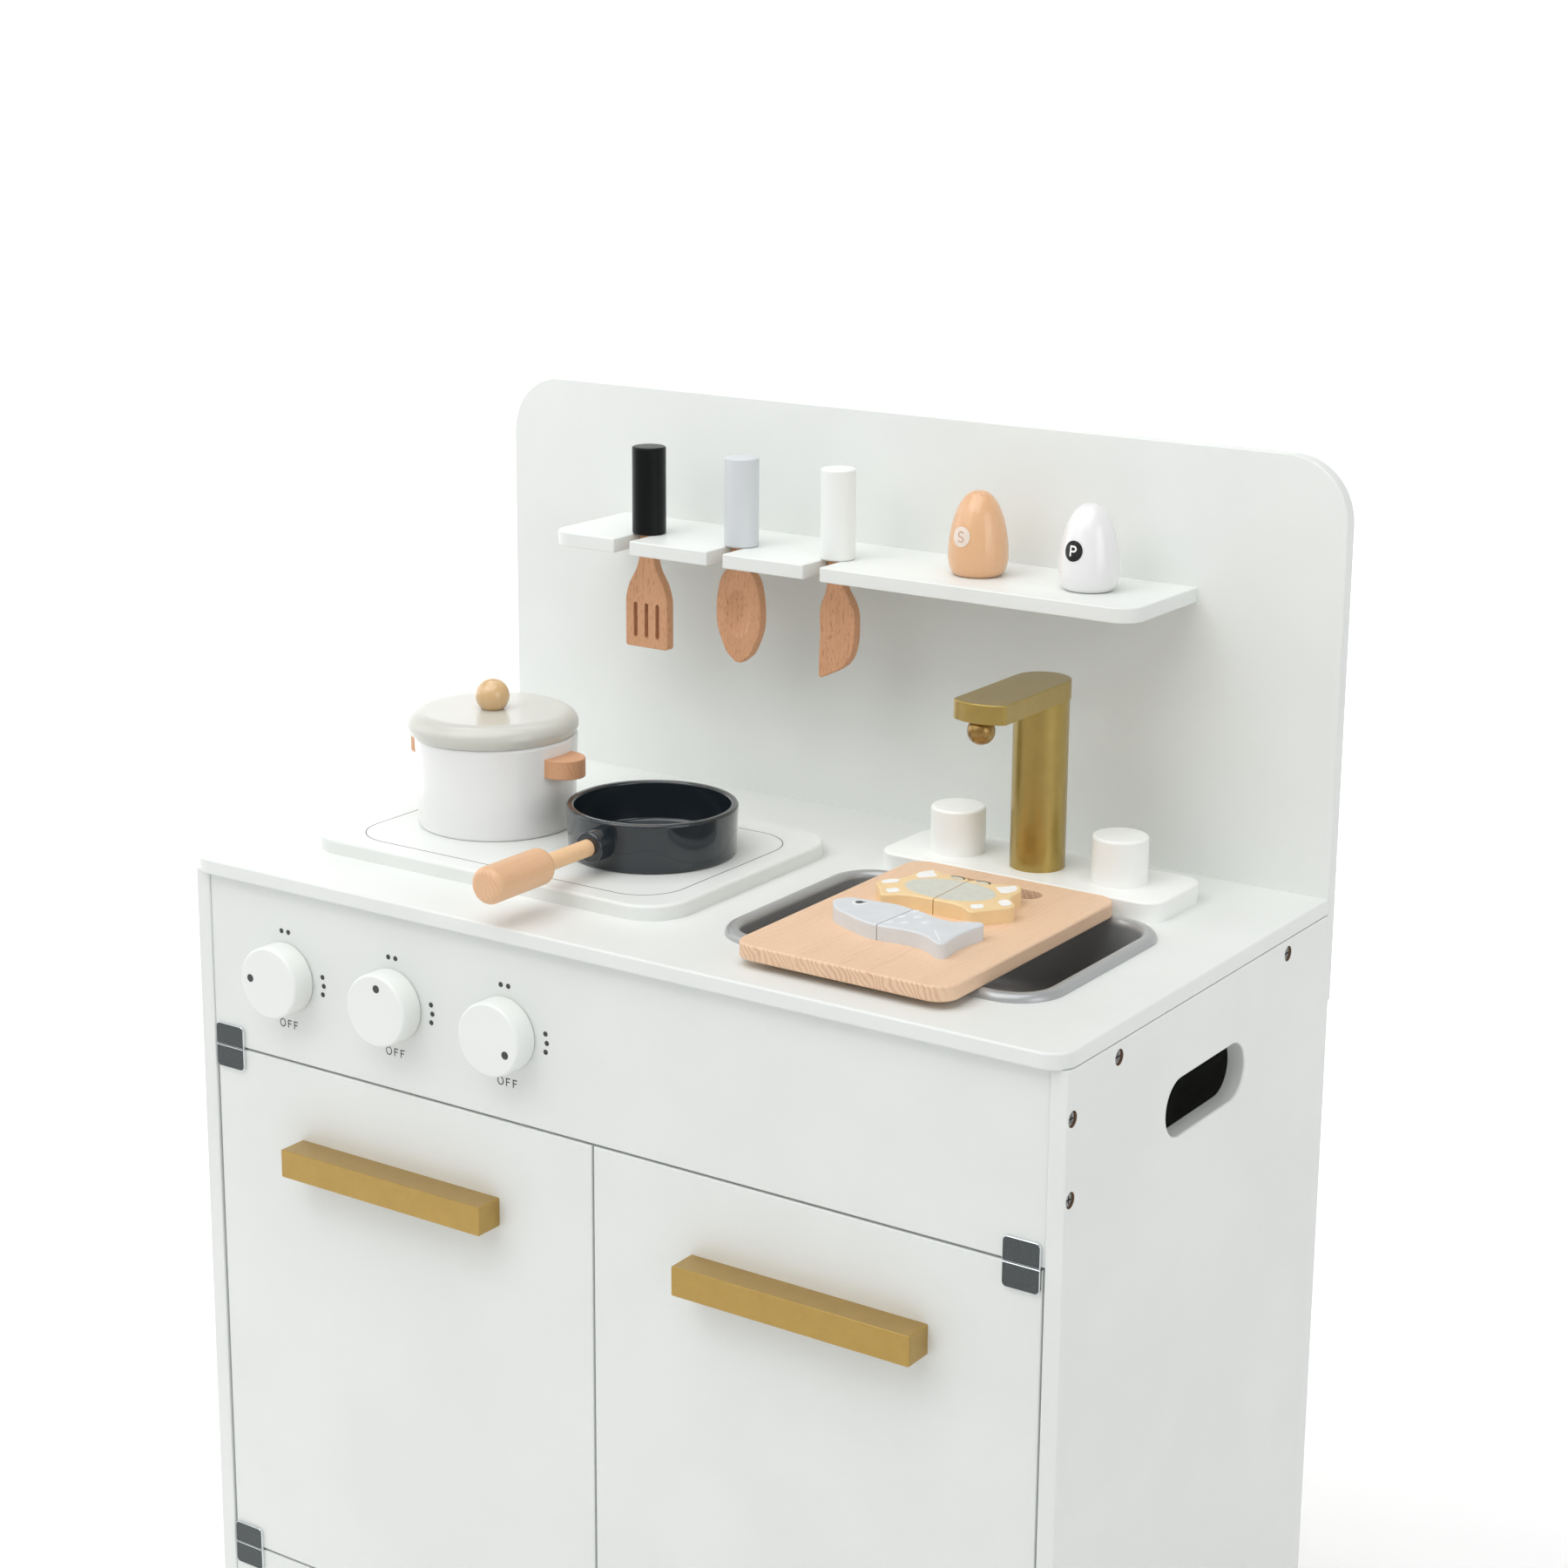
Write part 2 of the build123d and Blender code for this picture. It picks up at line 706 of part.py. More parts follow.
def tap(x):
    """Turned tap knob, in one piece with the peg it turns on."""
    with BuildPart() as knob:
        base = upright(x, faucet_y, faucet_plate_top)
        extrude(disc_on(base, tap_radius), amount=tap_height)
        fillet(knob.edges().group_by(Axis.Z)[-1], radius=tap_round)
        extrude(disc_on(base, tap_peg_radius), amount=-peg_length)
    return knob


save(tap(faucet_x - tap_pitch), "left_tap")
save(tap(faucet_x + tap_pitch), "right_tap")

# Hob knobs, each on a shouldered screw put in from behind the fascia
for number, x in enumerate(knob_xs, start=1):
    with BuildPart() as hob_knob:
        seat = facing_front(x, face_y - knob_gap, knob_z)
        extrude(disc_on(seat, knob_radius), amount=knob_thickness)
        fillet(hob_knob.edges().group_by(Axis.Y)[0], radius=knob_round)
        fillet(hob_knob.edges().group_by(Axis.Y)[-1], radius=knob_round / 2)
        extrude(disc_on(seat, spindle_radius), amount=spindle_grip, mode=Mode.SUBTRACT)
    save(hob_knob, f"hob_knob_{number}")

    with BuildPart() as knob_spindle:
        head_seat = facing_front(x, face_rear_y + spindle_play, knob_z)
        extrude(disc_on(head_seat, spindle_radius), amount=board + spindle_play + knob_gap + spindle_grip)
        extrude(disc_on(head_seat, spindle_head_radius), amount=-spindle_head_height)
    save(knob_spindle, f"knob_spindle_{number}")

# Doors with their bar handles, hinge leaves and strike plates
handle_z = door_top - handle_below_door_top - handle_height / 2


def span(side, near, far):
    """Limits on X of something that lies near to far from the middle, on one side of it."""
    return tuple(sorted((side * near, side * far)))


def door(side):
    """Slab door, hung at its outer edge."""
    with BuildPart() as slab:
        block(span(side, door_gap / 2, door_outer), (face_y, face_rear_y), (door_bottom, door_top))
        fillet(slab.faces().sort_by(Axis.Y)[0].outer_wire().edges(), radius=paint_round)
        for z, depth in ((door_top, -pin_bite - hole_spare), (door_bottom, pin_bite + hole_spare)):
            extrude(disc_on(upright(side * pivot_x, pivot_y, z), pin_radius + pin_clearance),
                    amount=depth, mode=Mode.SUBTRACT)
        for plane in handle_screw_planes(side):
            extrude(disc_on(plane, recess_radius), amount=recess_depth, mode=Mode.SUBTRACT)
            extrude(disc_on(plane, screw_shank_radius + drill_clearance), amount=-board,
                    mode=Mode.SUBTRACT)
        for z in magnet_zs:
            block(span(side, door_gap / 2, door_gap / 2 + strike_width),
                  (face_rear_y - strike_sheet, face_rear_y),
                  (z - strike_height / 2, z + strike_height / 2), mode=Mode.SUBTRACT)
    return slab


def door_centre(side):
    """X of the middle of a door."""
    return side * (door_gap / 2 + door_width / 2)


def handle_screw_planes(side):
    """Planes on the floors of the sunk holes in the back of a door."""
    return [
        Plane(origin=(door_centre(side) + dx, face_rear_y - recess_depth, handle_z),
              x_dir=(1, 0, 0), z_dir=(0, 1, 0))
        for dx in (-handle_screw_pitch / 2, handle_screw_pitch / 2)
    ]


def bar_handle(side):
    """Square bar that stands directly on the door."""
    with BuildPart() as bar:
        x = door_centre(side)
        block((x - handle_length / 2, x + handle_length / 2), (face_y - handle_depth, face_y),
              (handle_z - handle_height / 2, handle_z + handle_height / 2))
        fillet(bar.edges().filter_by(Axis.Y), radius=handle_round)
        fillet(bar.faces().sort_by(Axis.Y)[0].outer_wire().edges(), radius=handle_round / 2)
        for dx in (-handle_screw_pitch / 2, handle_screw_pitch / 2):
            extrude(disc_on(facing_front(x + dx, face_y, handle_z), screw_shank_radius + drill_clearance),
                    amount=handle_screw_bite + hole_spare, mode=Mode.SUBTRACT)
    return bar


def handle_screws(side):
    """The two screws that hold a bar handle, put in from inside the door."""
    with BuildPart() as pair:
        for plane in handle_screw_planes(side):
            extrude(disc_on(plane, screw_head_radius), amount=screw_head_height)
            extrude(disc_on(plane, screw_shank_radius), amount=recess_depth - board - handle_screw_bite)
    return pair


def hinge_leaf(side, z_edge, direction, hole_radius):
    """Plate on a board's face, folded over the edge of the board into the seam."""
    seam_z = z_edge - direction * leaf_tab
    far_z = seam_z + direction * leaf_height
    outer = door_outer - leaf_inset
    xs = span(side, outer - leaf_width, outer)
    with BuildPart() as leaf:
        block(xs, (face_y - leaf_plate, face_y), tuple(sorted((seam_z, far_z))))
        edges_by_height = leaf.edges().filter_by(Axis.Y).group_by(Axis.Z)
        fillet(edges_by_height[-1 if direction > 0 else 0], radius=leaf_corner)
        fillet(leaf.faces().sort_by(Axis.Y)[0].outer_wire().edges(), radius=leaf_plate / 3)
        block(xs, (face_y - leaf_plate / 3, face_y + leaf_tab_depth), tuple(sorted((seam_z, z_edge))))
        hole = disc_on(upright(side * pivot_x, pivot_y, seam_z), hole_radius)
        extrude(hole, amount=direction * leaf_tab, mode=Mode.SUBTRACT)
    return leaf.part


for side, name in ((-1, "left"), (1, "right")):
    save(door(side), f"{name}_door")
    save(bar_handle(side), f"{name}_door_handle")
    save(handle_screws(side), f"{name}_handle_screws")

    with BuildPart() as door_leaves:
        add(hinge_leaf(side, door_top, -1, pin_radius + pin_clearance))
        add(hinge_leaf(side, door_bottom, 1, pin_radius + pin_clearance))
    save(door_leaves, f"{name}_hinge_door_leaves")

    with BuildPart() as strike_plate:
        for z in magnet_zs:
            block(span(side, door_gap / 2, door_gap / 2 + strike_width),
                  (face_rear_y - strike_sheet, face_rear_y),
                  (z - strike_height / 2, z + strike_height / 2))
    save(strike_plate, f"{name}_strike_plates")

# Hinge leaves on the fascia and the plinth, and the pins that join each pair
with BuildPart() as hinge_fixed_leaves:
    for side in (-1, 1):
        add(hinge_leaf(side, fascia_bottom, 1, pin_radius + pin_fit))
        add(hinge_leaf(side, plinth_height, -1, pin_radius + pin_fit))
save(hinge_fixed_leaves, "hinge_fixed_leaves")

with BuildPart() as hinge_pins:
    for x in (-pivot_x, pivot_x):
        for low in (door_top - pin_bite, plinth_height - pin_bite):
            extrude(disc_on(upright(x, pivot_y, low), pin_radius), amount=2 * pin_bite + door_gap)
save(hinge_pins, "hinge_pins")

with BuildPart() as door_magnets:
    for z in magnet_zs:
        extrude(disc_on(facing_front(0, face_rear_y, z), magnet_radius), amount=-magnet_length)
save(door_magnets, "door_magnets")

# Shelf on the backboard, with open slots that the utensils hang in
with BuildPart() as utensil_shelf:
    block((-shelf_length / 2, shelf_length / 2), (shelf_front_y, backboard_y), (shelf_bottom, shelf_top))
    fillet(utensil_shelf.edges().filter_by(Axis.Z).group_by(Axis.Y)[0], radius=shelf_corner)
    slot_end = slot_width / 2
    for x in slot_xs:
        block((x - slot_width / 2, x + slot_width / 2),
              (shelf_front_y, shelf_front_y + slot_depth - slot_end),
              (shelf_bottom, shelf_top), mode=Mode.SUBTRACT)
        extrude(disc_on(upright(x, shelf_front_y + slot_depth - slot_end, shelf_bottom), slot_end),
                amount=board, mode=Mode.SUBTRACT)
    mouth_edges = utensil_shelf.edges().filter_by(Axis.Z).group_by(Axis.Y)[0]
    fillet(mouth_edges, radius=slot_mouth_round)
    fillet(utensil_shelf.faces().sort_by(Axis.Z)[-1].outer_wire().edges().sort_by(Axis.Y)[:-1],
           radius=paint_round)
    fillet(utensil_shelf.faces().sort_by(Axis.Z)[0].outer_wire().edges().sort_by(Axis.Y)[:-1],
           radius=paint_round)
    drill(shelf_screws)
save(utensil_shelf, "utensil_shelf")

# Pot: tapered wall, rounded rim and two half-oval ears
with BuildPart() as pot_body:
    with BuildSketch(Plane.XZ.offset(-pot_y)):
        with BuildLine():
            Polyline(
                (pot_x, hob_top),
                (pot_x + pot_base_radius, hob_top),
                (pot_x + pot_radius, pot_rim),
                (pot_x + pot_radius - pot_wall, pot_rim),
                (pot_x + pot_base_radius - pot_wall, hob_top + pot_wall),
                (pot_x, hob_top + pot_wall),
                close=True,
            )
        make_face()
    revolve(axis=Axis((pot_x, pot_y, 0), (0, 0, 1)))
    fillet(pot_body.edges().group_by(Axis.Z)[0], radius=pot_base_round)
    fillet(pot_body.edges().group_by(Axis.Z)[-1], radius=pot_rim_round)
save(pot_body, "pot_body")

with BuildPart() as pot_handles:
    ear_top = pot_rim - pot_ear_below_rim
    for side in (-1, 1):
        with BuildSketch(upright(pot_x + side * (pot_radius - pot_ear_inset), pot_y, ear_top)):
            Ellipse(pot_ear_reach + pot_ear_inset, pot_ear_half_width)
        extrude(amount=-pot_ear_thickness)
    fillet(pot_handles.edges().group_by(Axis.Z)[-1], radius=pot_ear_round)
    fillet(pot_handles.edges().group_by(Axis.Z)[0], radius=pot_ear_round)
    add(Solid.make_cone(pot_base_radius, pot_radius, pot_height, upright(pot_x, pot_y, hob_top)),
        mode=Mode.SUBTRACT)
save(pot_handles, "pot_handles")

# Lid: flat top, oval shoulder, a slight undercut and a locating lip
lid_x = pot_x + lid_shift_x
lid_y = pot_y + lid_shift_y
lid_bottom = pot_rim
lid_top = lid_bottom + lid_height
with BuildPart() as pot_lid:
    with BuildSketch(Plane.XZ.offset(-lid_y)):
        with BuildLine():
            widest = (lid_x + lid_radius, lid_bottom + lid_widest_height)
            under_edge = (lid_x + lid_radius - lid_undercut, lid_bottom)
            Polyline(
                under_edge,
                (lid_x + lid_lip_radius, lid_bottom),
                (lid_x + lid_lip_radius, lid_bottom - lid_lip_depth),
                (lid_x, lid_bottom - lid_lip_depth),
                (lid_x, lid_top),
                (lid_x + lid_top_radius, lid_top),
            )
            EllipticalCenterArc(
                (lid_x + lid_top_radius, lid_bottom + lid_widest_height),
                lid_radius - lid_top_radius,
                lid_height - lid_widest_height,
                start_angle=0,
                arc_size=90,
            )
            TangentArc(widest, under_edge, tangent=(0, -1))
        make_face()
    revolve(axis=Axis((lid_x, lid_y, 0), (0, 0, 1)))
save(pot_lid, "pot_lid")

with BuildPart() as pot_lid_knob:
    with Locations((lid_x, lid_y, lid_top + lid_knob_radius - lid_knob_sink)):
        Sphere(lid_knob_radius)
    split(bisect_by=Plane.XY.offset(lid_top), keep=Keep.TOP)
save(pot_lid_knob, "pot_lid_knob")

# Pan with a socket for its handle
with BuildPart() as pan_body:
    with BuildSketch(Plane.XZ.offset(-pan_y)):
        with BuildLine():
            Polyline(
                (pan_x, hob_top),
                (pan_x + pan_base_radius, hob_top),
                (pan_x + pan_radius, hob_top + pan_height),
                (pan_x, hob_top + pan_height),
                close=True,
            )
        make_face()
    revolve(axis=Axis((pan_x, pan_y, 0), (0, 0, 1)))
    fillet(pan_body.edges().group_by(Axis.Z)[0], radius=pan_base_round)
    boss_plane = facing_front(pan_x, pan_y, pan_axis_z)
    extrude(disc_on(boss_plane, boss_radius), amount=boss_reach)
    fillet(pan_body.edges().group_by(Axis.Y)[0], radius=boss_round)
    inner_radius = pan_radius - pan_wall
    extrude(disc_on(upright(pan_x, pan_y, hob_top + pan_floor), inner_radius),
            amount=pan_height, mode=Mode.SUBTRACT)
    fillet(pan_body.edges().group_by(Axis.Z)[-1], radius=pan_rim_round)
    floor_z = hob_top + pan_floor
    pan_floor_edges = pan_body.edges().filter_by(lambda e: abs(e.center().Z - floor_z) < same_place)
    fillet(pan_floor_edges, radius=pan_floor_round)
    socket_plane = facing_front(pan_x, pan_y - boss_reach, pan_axis_z)
    extrude(disc_on(socket_plane, rod_radius + socket_clearance), amount=-rod_bite, mode=Mode.SUBTRACT)
save(pan_body, "pan_body")

grip_rear_y = pan_y - boss_reach - rod_visible
with BuildPart() as pan_handle_rod:
    rod_plane = facing_front(pan_x, pan_y - boss_reach + rod_bite - socket_clearance, pan_axis_z)
    rod_length = rod_bite + rod_visible + grip_socket - 2 * socket_clearance
    extrude(disc_on(rod_plane, rod_radius), amount=rod_length)
save(pan_handle_rod, "pan_handle_rod")

with BuildPart() as pan_handle_grip:
    grip_plane = facing_front(pan_x, grip_rear_y, pan_axis_z)
    extrude(disc_on(grip_plane, grip_radius), amount=grip_length)
    fillet(pan_handle_grip.edges().group_by(Axis.Y)[0], radius=grip_front_round)
    fillet(pan_handle_grip.edges().group_by(Axis.Y)[-1], radius=grip_rear_round)
    extrude(disc_on(grip_plane, rod_radius + socket_clearance), amount=grip_socket, mode=Mode.SUBTRACT)
save(pan_handle_grip, "pan_handle_grip")

# Cutting board with a finger slot near its rear edge
with BuildPart() as cutting_board:
    extrude(rounded_on(cutting_bottom, cutting_x, cutting_y, cutting_width, cutting_depth, cutting_corner),
            amount=cutting_thickness)
    fillet(cutting_board.edges().group_by(Axis.Z)[-1], radius=cutting_round)
    fillet(cutting_board.edges().group_by(Axis.Z)[0], radius=cutting_round)
    finger_y = cutting_y + cutting_depth / 2 - cutting_slot_from_rear
    with BuildSketch(Plane.XY.offset(cutting_bottom)) as finger_slot:
        with Locations((cutting_x, finger_y)):
            SlotOverall(cutting_slot_length, cutting_slot_height)
    extrude(finger_slot.sketch, amount=cutting_thickness, mode=Mode.SUBTRACT)
save(cutting_board, "cutting_board")

# Toy fish, in two halves cut square across the body
fish_plane = Plane(
    origin=(cutting_left + fish_from_board_left, cutting_front + fish_from_board_front, cutting_top),
    x_dir=(cos(radians(fish_turn)), sin(radians(fish_turn)), 0),
    z_dir=(0, 0, 1),
)


def fish_outline():
    """Outline of the whole fish, with its nose at the plane's origin."""
    with BuildSketch(fish_plane) as outline:
        with BuildLine():
            Spline(*[(along * fish_length, up * fish_height) for along, up in fish_shares], periodic=True)
        make_face()
    return outline.sketch


def toy_half(outline, plane, cut_at, keep_far):
    """The part of a softened toy on one side of its cut."""
    with BuildPart() as piece:
        extrude(outline, amount=toy_thickness)
        fillet(piece.edges().group_by(Axis.Z)[-1], radius=toy_round)
        offset_at = cut_at + toy_cut_gap / 2 if keep_far else cut_at - toy_cut_gap / 2
        cut_plane = Plane(origin=plane.from_local_coords((offset_at, 0, 0)), z_dir=plane.x_dir)
        split(bisect_by=cut_plane, keep=Keep.TOP if keep_far else Keep.BOTTOM)
    return piece


fish = fish_outline()
save(toy_half(fish, fish_plane, fish_cut_at, False), "fish_head")
save(toy_half(fish, fish_plane, fish_cut_at, True), "fish_tail")

# Toy crab, in two mirrored halves: legs at the front corners, claws at the rear ones
crab_plane = Plane(
    origin=(cutting_left + crab_from_board_left, cutting_front + crab_from_board_front, cutting_top),
    x_dir=(cos(radians(crab_turn)), sin(radians(crab_turn)), 0),
    z_dir=(0, 0, 1),
)


def crab_outline():
    """Outline of the whole crab, symmetric about the plane's Y axis."""
    with BuildSketch(crab_plane) as outline:
        right = [(out * crab_half_width, up * crab_depth) for out, up in crab_shares]
        left = [(-u, v) for u, v in reversed(right)]
        with BuildLine():
            Spline((0, 0), *right, (0, crab_notch_share * crab_depth), *left, periodic=True)
        make_face()
    return outline.sketch


crab = crab_outline()
save(toy_half(crab, crab_plane, 0, False), "crab_left_half")
save(toy_half(crab, crab_plane, 0, True), "crab_right_half")

# Utensils: a flat wooden blade with a tang, and a round painted handle
spatula_x, spoon_x, knife_x = slot_xs
blade_front_y = utensil_y - utensil_thickness / 2
blade_rear = Plane.XZ.offset(-utensil_y - utensil_thickness / 2)


def utensil_handle(x):
    """Turned handle that rests on the shelf, with a socket for the tang."""
    with BuildPart() as handle:
        extrude(disc_on(upright(x, utensil_y, shelf_top), grip_handle_radius), amount=grip_handle_height)
        fillet(handle.edges().group_by(Axis.Z)[-1], radius=grip_handle_top_round)
        fillet(handle.edges().group_by(Axis.Z)[0], radius=grip_handle_base_round)
        socket_x = neck_width / 2 + tang_clearance
        socket_y = utensil_thickness / 2 + tang_clearance
        block((x - socket_x, x + socket_x), (utensil_y - socket_y, utensil_y + socket_y),
              (shelf_top, shelf_top + tang_length + tang_clearance), mode=Mode.SUBTRACT)
    return handle


def tang(x):
    """Line up one side of the neck, round the tang and down the other side."""
    high = shelf_top + tang_length
    low = shelf_top - neck_length
    left, right = x - neck_width / 2, x + neck_width / 2
    Polyline((left, low), (left, high), (right, high), (right, low))


def blade_edge(x, side, across, reach, shares):
    """Points down one edge of a blade, from the end of its neck."""
    start = (x + side * neck_width / 2, shelf_top - neck_length)
    return [start] + [(x + side * out * across, shelf_top - down * reach) for out, down in shares]


def soften(blade):
    """Rounds the edges of a blade's front and rear faces."""
    broad_faces = blade.faces().filter_by(Axis.Y).group_by(Axis.Y)
    fillet(broad_faces[0][0].outer_wire().edges(), radius=blade_round)
    broad_faces = blade.faces().filter_by(Axis.Y).group_by(Axis.Y)
    fillet(broad_faces[-1][0].outer_wire().edges(), radius=blade_round)


with BuildPart() as spatula_blade:
    spatula_end = shelf_top - utensil_reach
    with BuildSketch(blade_rear) as spatula_face:
        with BuildLine():
            tang(spatula_x)
            left_edge, right_edge = (
                blade_edge(spatula_x, side, spatula_width / 2, utensil_reach, spatula_shares)
                for side in (-1, 1)
            )
            Spline(*left_edge, tangents=((0, -1), (0, -1)))
            Spline(*right_edge, tangents=((0, -1), (0, -1)))
            left_x, right_x = spatula_x - spatula_width / 2, spatula_x + spatula_width / 2
            Polyline(left_edge[-1], (left_x, spatula_end), (right_x, spatula_end), right_edge[-1])
        make_face()
        fillet(spatula_face.vertices().group_by(Axis.Y)[0], radius=spatula_corner)
    extrude(amount=utensil_thickness)
    soften(spatula_blade)
    with BuildSketch(blade_rear):
        slot_z = spatula_end + spatula_slot_from_end + spatula_slot_height / 2
        with Locations(*[(spatula_x + i * spatula_slot_pitch, slot_z) for i in (-1, 0, 1)]):
            SlotOverall(spatula_slot_height, spatula_slot_width, rotation=90)
    extrude(amount=utensil_thickness, mode=Mode.SUBTRACT)
save(spatula_blade, "spatula_blade")

# The spoon's hollow is cut by an oval turned about an upright axis in front of its face
with BuildPart() as spoon_bowl:
    with BuildSketch(blade_rear):
        with BuildLine():
            tang(spoon_x)
            for side in (-1, 1):
                edge = blade_edge(spoon_x, side, spoon_width / 2, utensil_reach, spoon_shares)
                Spline(*edge, (spoon_x, shelf_top - utensil_reach), tangents=((0, -1), (-side, 0)))
        make_face()
    extrude(amount=utensil_thickness)
    soften(spoon_bowl)
    hollow_half = spoon_hollow_width / 2
    hollow_radius = (hollow_half**2 + spoon_hollow_depth**2) / (2 * spoon_hollow_depth)
    hollow_rise = spoon_hollow_length / 2 * hollow_radius / hollow_half
    hollow_y = blade_front_y - hollow_radius + spoon_hollow_depth
    with BuildSketch(facing_front(spoon_x, hollow_y, shelf_top - spoon_hollow_drop)):
        Ellipse(hollow_radius, hollow_rise)
        with Locations((-hollow_radius / 2, 0)):
            Rectangle(hollow_radius, 2 * hollow_rise, mode=Mode.SUBTRACT)
    revolve(axis=Axis((spoon_x, hollow_y, 0), (0, 0, 1)), mode=Mode.SUBTRACT)
save(spoon_bowl, "spoon_bowl")

with BuildPart() as knife_blade:
    with BuildSketch(blade_rear) as knife_face:
        with BuildLine():
            tang(knife_x)
            back = blade_edge(knife_x, -1, knife_width, knife_reach, knife_left_shares)
            cutting_edge = blade_edge(knife_x, 1, knife_width, knife_reach, knife_right_shares)
            tip = (knife_x - knife_left_share * knife_width, shelf_top - knife_reach)
            Spline(*back, tangents=((0, -1), (0, -1)))
            Line(back[-1], tip)
            Spline(*cutting_edge, tip, tangents=((0, -1), (-1, -knife_tip_slope)))
        make_face()
        fillet(knife_face.vertices().group_by(Axis.Y)[0], radius=knife_tip_round)
    extrude(amount=utensil_thickness)
    soften(knife_blade)
save(knife_blade, "knife_blade")

for label, x in (("spatula_handle", spatula_x), ("spoon_handle", spoon_x), ("knife_handle", knife_x)):
    save(utensil_handle(x), label)


def shaker(x):
    """Egg-shaped shaker with a flat foot: one oval below and one above its widest point."""
    widest_z = shelf_top + shaker_widest_height
    top_z = shelf_top + shaker_height
    foot = (x + shaker_foot_radius, shelf_top)
    with BuildPart() as body:
        with BuildSketch(Plane.XZ.offset(-shaker_y)):
            with BuildLine():
                Polyline((x + shaker_crown_radius, top_z), (x, top_z), (x, shelf_top), foot)
                EllipticalCenterArc((x + shaker_foot_radius, widest_z), shaker_radius - shaker_foot_radius,
                                    shaker_widest_height, start_angle=-90, arc_size=90)
                EllipticalCenterArc((x + shaker_crown_radius, widest_z), shaker_radius - shaker_crown_radius,
                                    shaker_height - shaker_widest_height, start_angle=0, arc_size=90)
            make_face()
        revolve(axis=Axis((x, shaker_y, 0), (0, 0, 1)))
    return body


save(shaker(salt_x), "salt_shaker")
save(shaker(pepper_x), "pepper_shaker")
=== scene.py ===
# %% [markdown]
# A play kitchen, dressed for its portrait.
# The kitchen's boards, hinges, knobs and cookware arrive as solids that already have the right
# size and place. What they lack is their finish: satin paint, beech with its flecks, gold lacquer
# and the small printed marks. So this lesson never moves a solid. It gives each one a material,
# adds the prints as thin skins of ink, lines the screw holes, and then sets up a floor, soft lights
# and a camera.

import bmesh
import bpy
import numpy as np
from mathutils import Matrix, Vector


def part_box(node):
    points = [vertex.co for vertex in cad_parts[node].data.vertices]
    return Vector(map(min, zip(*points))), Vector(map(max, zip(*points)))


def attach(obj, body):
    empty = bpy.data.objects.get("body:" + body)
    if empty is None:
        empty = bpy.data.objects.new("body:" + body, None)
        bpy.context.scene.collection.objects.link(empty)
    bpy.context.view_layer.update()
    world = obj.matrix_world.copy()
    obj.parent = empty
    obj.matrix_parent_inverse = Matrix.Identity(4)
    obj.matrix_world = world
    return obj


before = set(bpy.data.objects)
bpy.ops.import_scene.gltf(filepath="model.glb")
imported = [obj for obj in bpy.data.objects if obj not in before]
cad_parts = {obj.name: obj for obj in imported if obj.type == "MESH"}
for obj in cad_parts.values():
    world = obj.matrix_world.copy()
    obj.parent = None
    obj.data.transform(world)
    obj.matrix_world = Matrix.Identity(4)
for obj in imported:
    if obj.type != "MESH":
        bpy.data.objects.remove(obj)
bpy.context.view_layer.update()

# %% [markdown]
# Sizes are easier to read in millimetres, but Blender works in metres here. One factor turns the
# first into the second. Places are read from the kitchen's own pieces, so a print stays on its
# board if the board ever changes. A node's box is a pair of corners, and most places need only its
# middle and one of its faces.

# %% Places on the kitchen
MM = 0.001
SIDES = ((-1, "left"), (1, "right"))


def low(node):
    """Lowest corner of a node, in millimetres."""
    return np.array(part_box(node)[0]) / MM


def high(node):
    """Highest corner of a node, in millimetres."""
    return np.array(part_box(node)[1]) / MM


def middle(node):
    """Middle of a node's box, in millimetres."""
    return (low(node) + high(node)) / 2


def corners_of(node):
    """All the vertices of a node as an (n, 3) array, in millimetres."""
    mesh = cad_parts[node].data
    flat = np.empty(len(mesh.vertices) * 3)
    mesh.vertices.foreach_get("co", flat)
    return flat.reshape(-1, 3) / MM


fascia_front = low("fascia_panel")[1]
counter_top = high("countertop")[2]
print("fascia front at", round(fascia_front, 2), "counter top at", round(counter_top, 2))

# %% [markdown]
# A material is a small calculation: it starts from where a point lies on the object and ends in a
# colour, a roughness and a tiny bump. Written as node after node that is hard to read. This class
# wraps a node's output, so that ordinary Python signs add the Math nodes. The maker class below it
# has one method for any other node.

# %% Shader maths as expressions


class Value:
    """An output of a shader node that understands + - * / and a few named functions."""

    def __init__(self, finish, socket):
        self.finish = finish
        self.socket = socket

    def math(self, operation, *others):
        inputs = dict(enumerate((self, *others)))
        return self.finish.node("ShaderNodeMath", {"operation": operation}, inputs)

    def __add__(self, other):
        return self.math("ADD", other)

    def __sub__(self, other):
        return self.math("SUBTRACT", other)

    def __mul__(self, other):
        return self.math("MULTIPLY", other)

    def __truediv__(self, other):
        return self.math("DIVIDE", other)

    def __rsub__(self, other):
        return self.finish.node("ShaderNodeMath", {"operation": "SUBTRACT"}, {0: other, 1: self})

    __radd__ = __add__
    __rmul__ = __mul__

    def between(self, start, end):
        """0 below start, 1 above end, and a smooth rise from one to the other."""
        values = {"Value": self, "From Min": start, "From Max": end}
        return self.finish.node("ShaderNodeMapRange", {"interpolation_type": "SMOOTHSTEP"}, values)

    def size(self):
        return self.math("ABSOLUTE")


